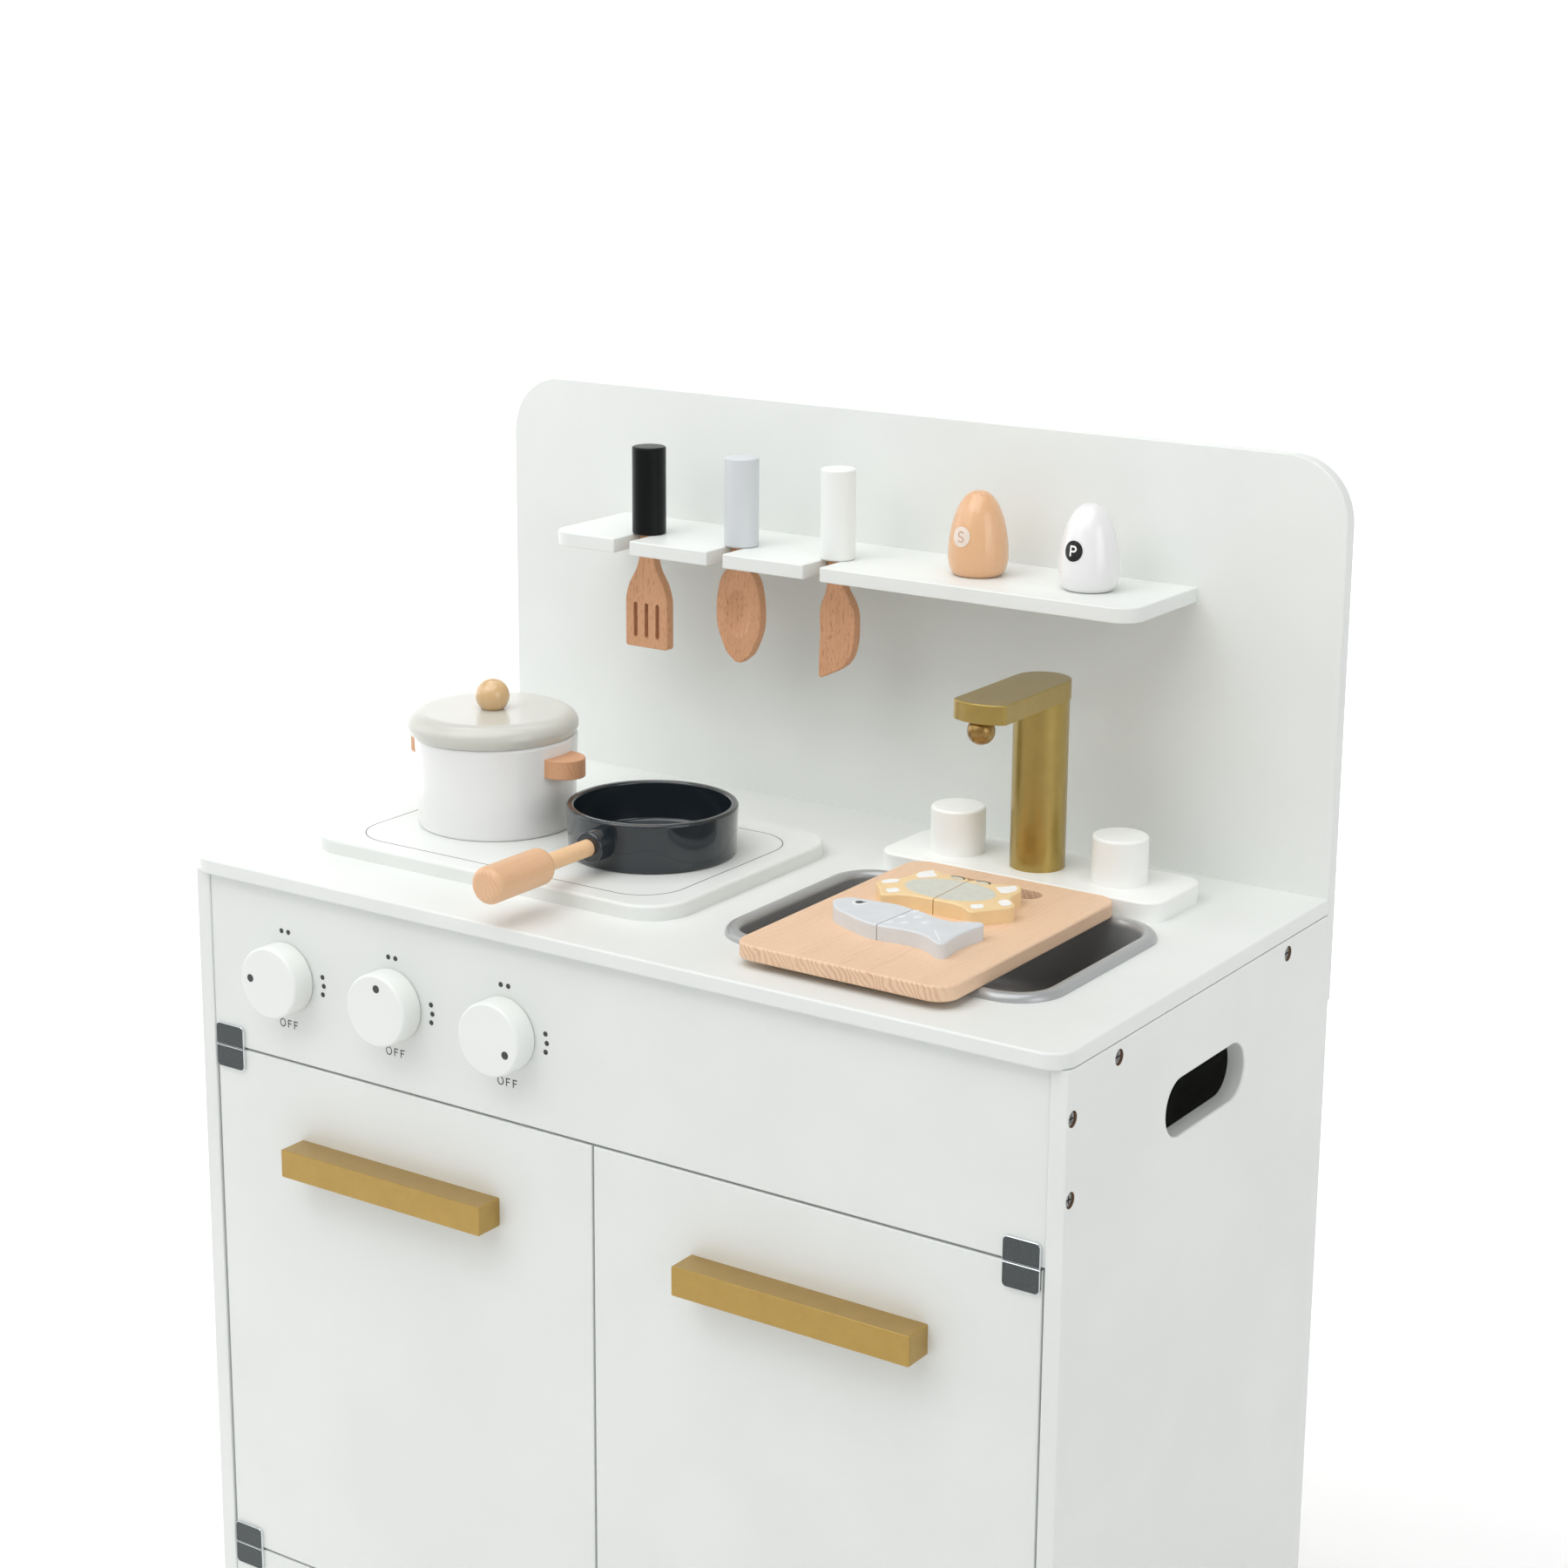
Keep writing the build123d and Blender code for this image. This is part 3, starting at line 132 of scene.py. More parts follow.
class Finish:
    """A material in the making: a Principled shader and the nodes that feed it."""

    def __init__(self, name, **settings):
        self.material = bpy.data.materials.new(name)
        self.material.use_nodes = True
        self.tree = self.material.node_tree
        self.tree.nodes.clear()
        self.shader = self.tree.nodes.new("ShaderNodeBsdfPrincipled")
        output = self.tree.nodes.new("ShaderNodeOutputMaterial")
        self.tree.links.new(self.shader.outputs[0], output.inputs["Surface"])
        for socket, value in settings.items():
            self.shader.inputs[socket.replace("_", " ")].default_value = value

    def feed(self, socket, value):
        """Puts a number, a colour or another node's output into a socket."""
        if isinstance(value, Value):
            self.tree.links.new(value.socket, socket)
        else:
            socket.default_value = value

    def node(self, kind, settings=None, values=None, out=0):
        """Adds one node, sets it up, feeds it and returns one of its outputs."""
        made = self.tree.nodes.new(kind)
        for key, setting in (settings or {}).items():
            setattr(made, key, setting)
        for key, value in (values or {}).items():
            self.feed(made.inputs[key], value)
        return Value(self, made.outputs[out])

    def place(self, stretch=(1, 1, 1)):
        """Object coordinates in millimetres, stretched along each axis."""
        spot = self.node("ShaderNodeTexCoord", out="Object")
        scale = [s / MM for s in stretch]
        return self.node("ShaderNodeMapping", None, {"Vector": spot, "Scale": scale})

    def axis(self, vector, letter):
        """One coordinate of a vector."""
        return self.node("ShaderNodeSeparateXYZ", None, {"Vector": vector}, out=letter)

    def noise(self, vector, scale=1.0, detail=2.0, roughness=0.5):
        """Soft random values about 0.5, with features about 1 / scale across."""
        return self.node("ShaderNodeTexNoise", None, {
            "Vector": vector, "Scale": scale, "Detail": detail, "Roughness": roughness})

    def blend(self, amount, first, second):
        """A colour between two colours."""
        colours = {0: amount, 6: first, 7: second}
        return self.node("ShaderNodeMix", {"data_type": "RGBA"}, colours, out=2)

    def bump(self, height, depth):
        """A relief of a height that runs from 0 to 1, depth millimetres deep."""
        return self.node("ShaderNodeBump", None, {"Height": height, "Distance": depth * MM})

    def set(self, **links):
        """Feeds the shader's sockets and returns the material."""
        for socket, value in links.items():
            self.feed(self.shader.inputs[socket.replace("_", " ")], value)
        return self.material


def shade(red, green, blue):
    """A colour as a painter reads it off a screen, 0 to 255, turned into linear light."""
    screen = np.array([red, green, blue]) / 255
    light = np.where(screen <= 0.04045, screen / 12.92, ((screen + 0.055) / 1.055) ** 2.4)
    return (*light.tolist(), 1.0)


def toned(colour, factor, lift=0.0):
    """A colour made darker or lighter by a factor and a small lift, and never brighter than 1."""
    return tuple(min(1.0, c * factor + lift) for c in colour[:3]) + (1.0,)


print("a mid grey is", [round(c, 3) for c in shade(128, 128, 128)[:3]])

# %% [markdown]
# The cabinet is board under a thick satin paint, sprayed and slightly orange-peeled. A perfectly
# even white looks like plastic, so three things vary a little: the tint over a hand's breadth, the
# gloss over a few millimetres, and a relief of about a hundredth of a millimetre that only shows
# where light grazes it. The same recipe with other numbers gives the turned and painted pieces.

# %% Satin paint


def painted(name, colour, gloss, peel=0.012, dusk=0.03, coat=0.0, mirror=0.5):
    """Sprayed paint. gloss is its roughness, peel the depth of its relief in millimetres, dusk how
    far its tint wanders, coat a clear layer on top and mirror the strength of its reflection."""
    finish = Finish(name, Coat_Weight=coat, Coat_Roughness=0.05, Specular_IOR_Level=mirror)
    spot = finish.place()
    wander = finish.noise(spot, 0.012, 3.0)
    specks = finish.noise(spot, 0.35, 3.0, 0.6)
    tint = finish.blend(wander.between(0.3, 0.7), colour, toned(colour, 1 - dusk))
    rough = gloss + (specks - 0.5) * (peel * 8) + (wander - 0.5) * 0.06
    relief = finish.bump(finish.noise(spot, 0.55, 2.0), peel)
    return finish.set(Base_Color=tint, Roughness=rough, Normal=relief)


cabinet_white = painted("cabinet_white", shade(234, 237, 234), 0.4)
turned_white = painted("turned_white", shade(240, 243, 240), 0.36, peel=0.006)
faucet_white = painted("faucet_white", shade(250, 252, 249), 0.36, peel=0.006)
sheet_white = painted("sheet_white", shade(226, 225, 220), 0.6, peel=0.02)
grip_black = painted("grip_black", shade(8, 10, 11), 0.3, peel=0.004, dusk=0.2, mirror=0.2)
grip_blue = painted("grip_blue", shade(212, 216, 219), 0.38, peel=0.008)
lid_sage = painted("lid_sage", shade(206, 206, 198), 0.3, peel=0.001, coat=0.3)
pot_white = painted("pot_white", shade(238, 239, 238), 0.24, peel=0.001, coat=0.4)
pan_slate = painted("pan_slate", shade(31, 39, 45), 0.26,
                    peel=0.001, dusk=0.12, coat=0.9, mirror=0.3)
shaker_white = painted("shaker_white", shade(240, 240, 240), 0.22, peel=0.001, coat=0.5)
print("painted finishes made")

# %% [markdown]
# The gold is a lacquer full of fine metal flake, not polished brass. It is metallic, but its flakes
# point slightly different ways, so a highlight is broad and grainy. Noise at a third of a
# millimetre does that through the bump, and a slower noise makes the spray a little uneven. The
# bars are a shade redder than the faucet, and the ball under the spout is redder still.

# %% Gold lacquer


def gold_lacquer(name, colour, shadow):
    """Metal flake in lacquer: grainy in gloss, in tint and in relief."""
    finish = Finish(name, Metallic=0.85, Coat_Weight=0.5, Coat_Roughness=0.12)
    spot = finish.place()
    flake = finish.noise(spot, 3.2, 2.0, 0.7)
    cloud = finish.noise(spot, 0.09, 3.0)
    tint = finish.blend(0.5 + (flake - 0.5) * 1.2 + (cloud - 0.5) * 0.4, shadow, colour)
    rough = 0.33 + (flake - 0.5) * 0.3 + (cloud - 0.5) * 0.08
    return finish.set(Base_Color=tint, Roughness=rough, Normal=finish.bump(flake, 0.03))


bar_gold = gold_lacquer("bar_gold", shade(196, 163, 88), shade(164, 131, 62))
faucet_gold = gold_lacquer("faucet_gold", shade(192, 166, 92), shade(152, 126, 58))
copper_gold = gold_lacquer("copper_gold", shade(174, 140, 76), shade(132, 100, 48))
print("gold finishes made")

# %% [markdown]
# Beech is pale and pinkish, with fibres a few tenths of a millimetre wide and short dark dashes,
# the rays, along the grain. Cut across, it shows its year rings as close streaks instead. A solid
# pattern gives both: the rings are even layers that lie aslant in the wood, bent a little by noise,
# and every fibre is noise pulled long in the direction of the grain. Which one shows depends on
# which way the surface faces, so that is the last input.

# %% Beech
AXES = {"X": 0, "Y": 1, "Z": 2}


def beech(name, light, dark, grain="Y", ring=2.6, gloss=0.5, depth=0.015,
          strong=1.0, coat=0.0, flecks=0.25):
    """Oiled beech whose fibres run along one axis. light and dark are its two wood colours, ring is
    the width of a year in millimetres, strong says how clearly the figure shows, and flecks how
    dark its dashes are."""
    finish = Finish(name, Coat_Weight=coat, Coat_Roughness=0.06)
    along = AXES[grain]

    def pulled(across, lengthwise):
        stretch = [across] * 3
        stretch[along] = lengthwise
        return finish.place(stretch)

    fibres = finish.noise(pulled(3.0, 0.06), 1.0, 3.0, 0.6)
    rays = finish.noise(pulled(1.2, 0.28), 1.0, 1.0).between(0.58, 0.68)
    boards = finish.noise(pulled(0.06, 0.006), 1.0, 2.0)
    spot = finish.place()
    sideways = finish.axis(spot, "Y" if grain == "X" else "X")
    upwards = finish.axis(spot, "Y" if grain == "Z" else "Z")
    wave = finish.noise(pulled(0.07, 0.015), 1.0, 2.0) * 14
    count = (sideways + upwards * 0.6 + wave) / ring
    year = (count.math("FRACT") - 0.5).size() * 2
    normal = finish.node("ShaderNodeTexCoord", out="Normal")
    cut_across = finish.axis(normal, grain).size().between(0.55, 0.85)
    streaks = year.between(0.1, 1.0) * (0.16 + cut_across * 0.36)
    dashes = rays * (flecks - cut_across * 0.2)
    figure = streaks + (fibres - 0.5) * 0.6 + dashes + (boards - 0.5) * 0.6
    tint = finish.blend((figure * strong).between(-0.1, 1.2), light, dark)
    relief = finish.bump(fibres + rays * 0.6, depth)
    return finish.set(Base_Color=tint, Roughness=gloss + (fibres - 0.5) * 0.2, Normal=relief)


board_beech = beech("board_beech", shade(238, 204, 172), shade(194, 140, 106),
                    ring=3.4, flecks=0.16)
grip_beech = beech("grip_beech", shade(230, 186, 145), shade(186, 134, 98),
                   strong=0.55, coat=0.3)
rod_beech = beech("rod_beech", shade(240, 200, 156), shade(204, 158, 114),
                  strong=0.6)
ear_beech = beech("ear_beech", shade(214, 162, 122), shade(166, 112, 78),
                  grain="X", ring=1.6, strong=0.7)
blade_beech = beech("blade_beech", shade(216, 162, 122), shade(156, 102, 70),
                    grain="Z", ring=3.2, gloss=0.6, flecks=0.45)
knob_beech = beech("knob_beech", shade(216, 180, 130), shade(184, 140, 92),
                   grain="Z", ring=4.0, gloss=0.3, depth=0.002, strong=0.4, coat=0.9)
shaker_beech = beech("shaker_beech", shade(228, 180, 136), shade(188, 136, 94),
                     grain="Z", ring=4.5, gloss=0.32, depth=0.002, strong=0.5, coat=0.6)
print("beech finishes made")

# %% [markdown]
# The toys are cut from plywood and covered with a matt coloured print, through which a trace of
# the grain still shows. The sink is a satin grey moulding, and a painted shade darkens it inside
# its bowl. The hinge plates are steel with a dark grained face, and a painted highlight makes
# their rounded edges bright.

# %% Toys, sink and metal


def toy_print(name, colour, deeper):
    """Matt ink on wood, with a faint grain along X."""
    finish = Finish(name)
    grain = finish.noise(finish.place((0.05, 1.2, 1.2)), 1.0, 3.0)
    cloud = finish.noise(finish.place(), 0.08, 2.0)
    tint = finish.blend((grain - 0.5) * 0.8 + cloud, colour, deeper)
    rough = 0.48 + (grain - 0.5) * 0.2
    return finish.set(Base_Color=tint, Roughness=rough, Normal=finish.bump(grain, 0.02))


def sink_moulding():
    """Satin grey rim, with a painted shade that darkens it down into the bowl."""
    finish = Finish("sink_moulding", Metallic=0.3, Coat_Weight=0.5, Coat_Roughness=0.1)
    spot = finish.place()
    # painted shade: the grey turns darker with depth below the worktop, down into the bowl
    below = (counter_top - finish.axis(spot, "Z")).between(-4, 40)
    grain = finish.noise(spot, 1.4, 3.0)
    tint = finish.blend(below, shade(176, 178, 179), shade(164, 165, 165))
    rough = 0.32 + (grain - 0.5) * 0.12
    return finish.set(Base_Color=tint, Roughness=rough, Normal=finish.bump(grain, 0.006))


def plated(name, colour, rough):
    """Plated steel with fine lengthwise scratches."""
    finish = Finish(name, Metallic=1.0)
    scratch = finish.noise(finish.place((0.25, 2.5, 2.5)), 1.0, 3.0, 0.7)
    tint = finish.blend(scratch, colour, toned(colour, 0.7))
    return finish.set(Base_Color=tint, Roughness=rough + (scratch - 0.5) * 0.2,
                      Normal=finish.bump(scratch, 0.006))


def hinge_steel():
    """Dark grained faces inside a bright rim, which is a painted highlight. A point belongs to the
    rim where its face turns away from straight ahead, which only the rounded edges and the sides
    do."""
    finish = Finish("hinge_steel", Metallic=1.0)
    grit = finish.noise(finish.place(), 1.6, 3.0, 0.7)
    normal = finish.node("ShaderNodeTexCoord", out="Normal")
    # painted highlight: where the face does not look straight ahead, the steel is coloured bright
    ahead = finish.axis(normal, "Y").size().between(0.86, 0.99)
    face = finish.blend(grit, shade(62, 66, 67), shade(112, 116, 117))
    return finish.set(Base_Color=finish.blend(ahead, shade(228, 232, 234), face),
                      Roughness=0.16 + ahead * 0.3, Normal=finish.bump(grit, 0.02))


toy_blue = toy_print("toy_blue", shade(223, 228, 232), shade(213, 216, 218))
toy_yellow = toy_print("toy_yellow", shade(245, 218, 170), shade(237, 206, 155))
sink_grey = sink_moulding()
hinge_plating = hinge_steel()
screw_plating = plated("screw_plating", shade(150, 150, 148), 0.32)
magnet_dark = plated("magnet_dark", shade(60, 60, 62), 0.5)
print("toy, sink and metal finishes made")

# %% [markdown]
# Now every solid gets its finish. The table goes from finish to pieces, the way a paint shop would
# sort the parts into batches. A check at the end makes sure that no piece was left bare.

# %% Finish every solid
batches = [
    (cabinet_white, "left_side_panel right_side_panel countertop backboard utensil_shelf"
                    " fascia_panel centre_divider bottom_panel plinth top_cleats hob_plate"
                    " left_door right_door"),
    (turned_white, "hob_knob_1 hob_knob_2 hob_knob_3 knife_handle"),
    (faucet_white, "left_tap right_tap faucet_base_plate"),
    (sheet_white, "rear_panel foot_pads"),
    (bar_gold, "left_door_handle right_door_handle"),
    (faucet_gold, "faucet_column faucet_spout"),
    (copper_gold, "spout_nozzle"),
    (board_beech, "cutting_board"),
    (grip_beech, "pan_handle_grip"),
    (rod_beech, "pan_handle_rod"),
    (ear_beech, "pot_handles"),
    (blade_beech, "spatula_blade spoon_bowl knife_blade"),
    (knob_beech, "pot_lid_knob"),
    (shaker_beech, "salt_shaker"),
    (shaker_white, "pepper_shaker"),
    (pot_white, "pot_body"),
    (lid_sage, "pot_lid"),
    (pan_slate, "pan_body"),
    (grip_black, "spatula_handle"),
    (grip_blue, "spoon_handle"),
    (toy_blue, "fish_head fish_tail"),
    (toy_yellow, "crab_left_half crab_right_half"),
    (sink_grey, "sink_basin"),
    (hinge_plating, "hinge_fixed_leaves left_hinge_door_leaves right_hinge_door_leaves"),
    (screw_plating, "carcass_screws left_handle_screws right_handle_screws hinge_pins"
                    " knob_spindle_1 knob_spindle_2 knob_spindle_3"
                    " left_strike_plates right_strike_plates"),
    (magnet_dark, "door_magnets"),
]
bare = set(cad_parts)
for finish, names in batches:
    for node in names.split():
        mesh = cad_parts[node].data
        mesh.materials.clear()
        mesh.materials.append(finish)
        bare.discard(node)
assert not bare, f"pieces with no finish: {sorted(bare)}"
print("pieces finished", len(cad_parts))

# %% [markdown]
# The prints are ink at most a tenth of a millimetre thick. Each one is drawn flat, in a sheet of
# its own with u to the right and v upwards, and then laid on its board, its knob, its toy or the
# curved belly of a shaker. So a drawing needs only two shapes: a line, which is a flat band carried
# along a path, and a blot, which is a filled outline. Laying it down is a function from u, v and
# height to a place on the object.

# %% Ink drawn as thin skins
INK = 0.1


def as_piece(name, points, faces, material, body):
    """Makes a mesh piece from points in millimetres and lets it ride on a body."""
    mesh = bpy.data.meshes.new(name)
    mesh.from_pydata((points * MM).tolist(), [], faces)
    mesh.materials.append(material)
    shell = bmesh.new()
    shell.from_mesh(mesh)
    bmesh.ops.recalc_face_normals(shell, faces=shell.faces)
    shell.to_mesh(mesh)
    shell.free()
    piece = bpy.data.objects.new(name, mesh)
    bpy.context.scene.collection.objects.link(piece)
    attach(piece, body)


def grid_faces(rows, columns, start=0, ring=False, loop=False):
    """Quads between the points of a grid. ring closes each row, loop joins the last row to the
    first, and start is the number of the grid's first point."""
    row = np.arange(rows if loop else rows - 1)[:, None]
    column = np.arange(columns if ring else columns - 1)[None, :]
    after_row = (row + 1) % rows
    after_column = (column + 1) % columns
    quads = np.stack(np.broadcast_arrays(
        row * columns + column, row * columns + after_column,
        after_row * columns + after_column, after_row * columns + column), axis=-1)
    return (quads.reshape(-1, 4) + start).tolist()


def line(path, width, closed=False):
    """A band along a path of (u, v) points. At each point it is width wide, square to the path,
    and its four corners are the path plus or minus half a width, on the board and INK above it."""
    path = np.asarray(path, float)
    if closed:
        ahead = np.roll(path, -1, axis=0) - np.roll(path, 1, axis=0)
    else:
        ahead = np.gradient(path, axis=0)
    ahead /= np.linalg.norm(ahead, axis=1, keepdims=True)
    side = np.stack([-ahead[:, 1], ahead[:, 0]], axis=1) * width / 2
    flat = np.stack([path - side, path + side, path + side, path - side], axis=1)
    height = np.broadcast_to([0.0, 0.0, INK, INK], flat.shape[:2])
    points = np.concatenate([flat, height[..., None]], axis=2).reshape(-1, 3)
    faces = grid_faces(len(path), 4, ring=True, loop=closed)
    if not closed:
        last = 4 * (len(path) - 1)
        faces += [[3, 2, 1, 0], [last, last + 1, last + 2, last + 3]]
    return points, faces


def blot(outline, rings=4):
    """A filled outline of (u, v) points: rings of the outline shrunk towards its middle, INK above
    the board, and one more ring down at the board for its edge."""
    outline = np.asarray(outline, float)
    heart = outline.mean(axis=0)
    shares = np.linspace(0, 1, rings + 1)[1:]
    flat = heart + (outline - heart) * shares[:, None, None]
    flat = np.concatenate([flat, outline[None]], axis=0)
    height = np.full(flat.shape[:2], INK)
    height[-1] = 0.0
    points = np.concatenate([flat, height[..., None]], axis=2).reshape(-1, 3)
    count = len(outline)
    faces = grid_faces(rings + 1, count, ring=True)
    around = np.arange(count)
    points = np.vstack([points, [[*heart, INK], [*heart, 0.0]]])
    top, bottom = len(points) - 2, len(points) - 1
    edge = count * rings
    after = (around + 1) % count
    faces += np.stack([np.full(count, top), around, after], axis=1).tolist()
    faces += np.stack([np.full(count, bottom), edge + after, edge + around], axis=1).tolist()
    return points, faces


def oval(u, v, half_u, half_v, count=40, turn=0.0):
    """An ellipse about u, v, turned by an angle in degrees."""
    angle = np.linspace(0, 2 * np.pi, count, endpoint=False)
    flat = np.stack([half_u * np.cos(angle), half_v * np.sin(angle)], axis=1)
    bend = np.radians(turn)
    spin = np.array([[np.cos(bend), np.sin(bend)], [-np.sin(bend), np.cos(bend)]])
    return flat @ spin + [u, v]


def arc(u, v, half_u, half_v, start, end, count=24):
    """Part of an ellipse from one angle to another, in degrees."""
    angle = np.radians(np.linspace(start, end, count))
    return np.stack([u + half_u * np.cos(angle), v + half_v * np.sin(angle)], axis=1)


def straight(first, second, count=6):
    """Points on a straight line."""
    share = np.linspace(0, 1, count)[:, None]
    return np.array(first) * (1 - share) + np.array(second) * share


def lay(name, shapes, place, material, body):
    """Joins flat shapes into one piece and lays it down with a function of u, v and height."""
    points = []
    faces = []
    for shape_points, shape_faces in shapes:
        start = sum(len(p) for p in points)
        points.append(shape_points)
        faces += [[corner + start for corner in face] for face in shape_faces]
    flat = np.vstack(points)
    solid = place(flat[:, 0], flat[:, 1], flat[:, 2])
    as_piece(name, solid, faces, material, body)
    print(name, "points", len(flat), "faces", len(faces))


# %% [markdown]
# Ink has its own finish: almost matt, and never quite even. On the real kitchen the marks are
# a dark warm grey rather than black, except the disc on the pepper shaker.

# %% Inks


def ink(name, colour, gloss=0.5):
    """Printed ink, slightly uneven in tone."""
    finish = Finish(name)
    patch = finish.noise(finish.place(), 0.25, 2.0)
    tint = finish.blend(patch.between(0.3, 0.8), colour, toned(colour, 1.06, 0.01))
    return finish.set(Base_Color=tint, Roughness=gloss + (patch - 0.5) * 0.1)


ink_dark = ink("ink_dark", shade(56, 56, 58))
ink_black = ink("ink_black", shade(14, 15, 17), 0.35)
ink_white = ink("ink_white", shade(246, 246, 244), 0.4)
ink_pale = ink("ink_pale", shade(228, 214, 202), 0.4)
ink_sage = ink("ink_sage", shade(208, 209, 198))
ink_brown = ink("ink_brown", shade(196, 150, 118))
ink_faint = ink("ink_faint", shade(232, 235, 237))
ink_grey = ink("ink_grey", shade(214, 208, 188))
ink_lid = ink("ink_lid", shade(44, 40, 36))
ink_soft_black = ink("ink_soft_black", shade(78, 82, 84))
print("inks made")

# %% [markdown]
# The fascia carries the knob scales. Each knob has two dots above it, three dots to its right and
# the word OFF below, and on its face one dot for a pointer. The letters are drawn with the same
# band as every other line: O is an ellipse, F is three straight strokes.

# %% Knob scales
dot_size = 1.55
above_rise = 28.3
above_apart = 2.7
beside_reach = 29.1
beside_apart = 5.4
beside_bow = 0.9
word_drop = 29.5
letter_height = 4.9
o_width = 4.6
f_width = 3.0
o_place = -3.9
f_places = (1.65, 6.55)
stroke = 0.62
bar_rise = 0.1
bar_share = 0.36
pointer_size = 2.4
pointer_reach = 14.0
pointer_angles = (176, 84, -26)


def letter_o(u, v):
    """One closed band along an ellipse."""
    bow = oval(u, v, (o_width - stroke) / 2, letter_height / 2 - stroke / 4)
    return [line(bow, stroke, closed=True)]


def letter_f(u, v):
    """A stem, a bar at its top and a shorter bar just above its middle."""
    left = u - f_width / 2 + stroke / 2
    top = v + letter_height / 2
    bar = v + bar_rise
    return [
        line(straight((left, v - letter_height / 2), (left, top)), stroke),
        line(straight((left, top - stroke / 2), (u + f_width / 2, top - stroke / 2)), stroke),
        line(straight((left, bar), (u + f_width * bar_share, bar)), stroke),
    ]


def on_fascia(u, v, height):
    return np.stack([u, fascia_front - height, v], axis=1)


for number, angle in enumerate(pointer_angles, start=1):
    knob = f"hob_knob_{number}"
    centre_x, _, centre_z = middle(knob)
    above = [(centre_x + du, centre_z + above_rise) for du in (-above_apart, above_apart)]
    beside = [(centre_x + beside_reach + bow, centre_z + dv)
              for bow, dv in ((0, beside_apart), (beside_bow, 0), (0, -beside_apart))]
    scale = [blot(oval(u, v, dot_size, dot_size, 24)) for u, v in above + beside]
    below = centre_z - word_drop
    scale += letter_o(centre_x + o_place, below)
    for f_place in f_places:
        scale += letter_f(centre_x + f_place, below)
    lay(f"knob_scale_{number}", scale, on_fascia, ink_dark, "cabinet")

    knob_front = low(knob)[1]

    def on_knob(u, v, height):
        return np.stack([u, knob_front - height, v], axis=1)

    turned = np.radians(angle)
    pointer_x = centre_x + pointer_reach * np.cos(turned)
    pointer_z = centre_z + pointer_reach * np.sin(turned)
    pointer = blot(oval(pointer_x, pointer_z, pointer_size, pointer_size, 28))
    lay(f"knob_pointer_{number}", [pointer], on_knob, ink_dark, f"knob_{number}")

# %% [markdown]
# A single fine dark line marks the cooking area on the hob plate. It is a rectangle with round
# corners, so its path is four quarter circles, and the straight sides come by themselves between
# the end of one and the start of the next. It sits a little right of the plate's middle and nearer
# to the front, and its ink is half as thick as elsewhere.

# %% Line round the hob
hob_low = low("hob_plate")
hob_high = high("hob_plate")
line_inset = np.array([19.0, 17.5])
line_shift = np.array([4.0, -3.5])
line_corner = 28.0
line_width = 0.55
hob_ink = 0.5


def round_rectangle(low_u, low_v, high_u, high_v, corner, count=14):
    """Four quarter circles, anticlockwise from the lower right, joined by their own gaps."""
    centres = [(high_u - corner, low_v + corner, -90), (high_u - corner, high_v - corner, 0),
               (low_u + corner, high_v - corner, 90), (low_u + corner, low_v + corner, 180)]
    return np.vstack([arc(u, v, corner, corner, start, start + 90, count)
                      for u, v, start in centres])


def on_hob(u, v, height):
    return np.stack([u, v, hob_high[2] + height * hob_ink], axis=1)


near_corner = hob_low[:2] + line_inset + line_shift
far_corner = hob_high[:2] - line_inset + line_shift
cooking_area = round_rectangle(*near_corner, *far_corner, line_corner)
fine_line = line(cooking_area, line_width, closed=True)
lay("hob_line", [fine_line], on_hob, ink_dark, "cabinet")

# %% [markdown]
# Each shaker has a printed disc with one letter. The egg is a surface of revolution, so the print
# is laid by walking: u millimetres round the belly is an angle of u over the radius, and v is a
# height. The radius at each height is read off the egg itself.

# %% Discs and letters on the shakers
disc_radius = 6.0
disc_rise = 24.8
print_gap = 0.05


def belly_of(node):
    """Radius of a turned piece as a function of height: the widest vertex in each thin slice."""
    centre = middle(node)
    points = corners_of(node)
    radius = np.hypot(points[:, 0] - centre[0], points[:, 1] - centre[1])
    slices = np.linspace(low(node)[2], high(node)[2], 40)
    nearest = np.abs(points[:, 2, None] - slices[None]).argmin(axis=1)
    widest = np.array([radius[nearest == i].max(initial=0.0) for i in range(len(slices))])
    filled = widest > 0
    return lambda z: np.interp(z, slices[filled], widest[filled])


def around_shaker(node, bearing, height_up):
    """A way to lay a print on a shaker: u round it, v up it, height out of it."""
    centre = middle(node)
    radius_at = belly_of(node)
    base = low(node)[2] + height_up

    def place(u, v, height):
        z = base + v
        radius = radius_at(z) + print_gap
        angle = bearing + u / radius
        return np.stack([centre[0] + (radius + height) * np.cos(angle),
                         centre[1] + (radius + height) * np.sin(angle), z], axis=1)

    return place


s_upper = arc(0, 1.35, 1.6, 1.45, 30, 270, 24)
s_lower = arc(0, -1.45, 1.7, 1.35, 90, -150, 24)
letter_s = [line(np.vstack([s_upper, s_lower[1:]]) * [1.1, 1.05], 0.6)]
p_upper = straight((-1.3, 2.7), (0.1, 2.7), 5)
p_round = arc(0.1, 1.25, 1.5, 1.45, 90, -90, 20)
p_lower = straight((0.1, -0.2), (-1.3, -0.2), 5)
letter_p = [line(straight((-1.6, -3.1), (-1.6, 3.15)), 1.05),
            line(np.vstack([p_upper, p_round[1:], p_lower[1:]]) * [1.15, 1.0], 1.0)]
disc = blot(oval(0, 0, disc_radius, disc_radius, 48), rings=6)
for body, bearing, disc_ink, disc_slot, letter_ink, shapes in (
    ("salt", -97.0, ink_pale, "pale_beech", ink_brown, letter_s),
    ("pepper", -95.5, ink_black, "black_paint", ink_white, letter_p),
):
    place = around_shaker(f"{body}_shaker", np.radians(bearing), disc_rise)
    lay(f"{body}_disc", [disc], place, disc_ink, body)

    def raised(u, v, height, place=place):
        return place(u, v, height + INK)

    lay(f"{body}_letter", shapes, raised, letter_ink, body)

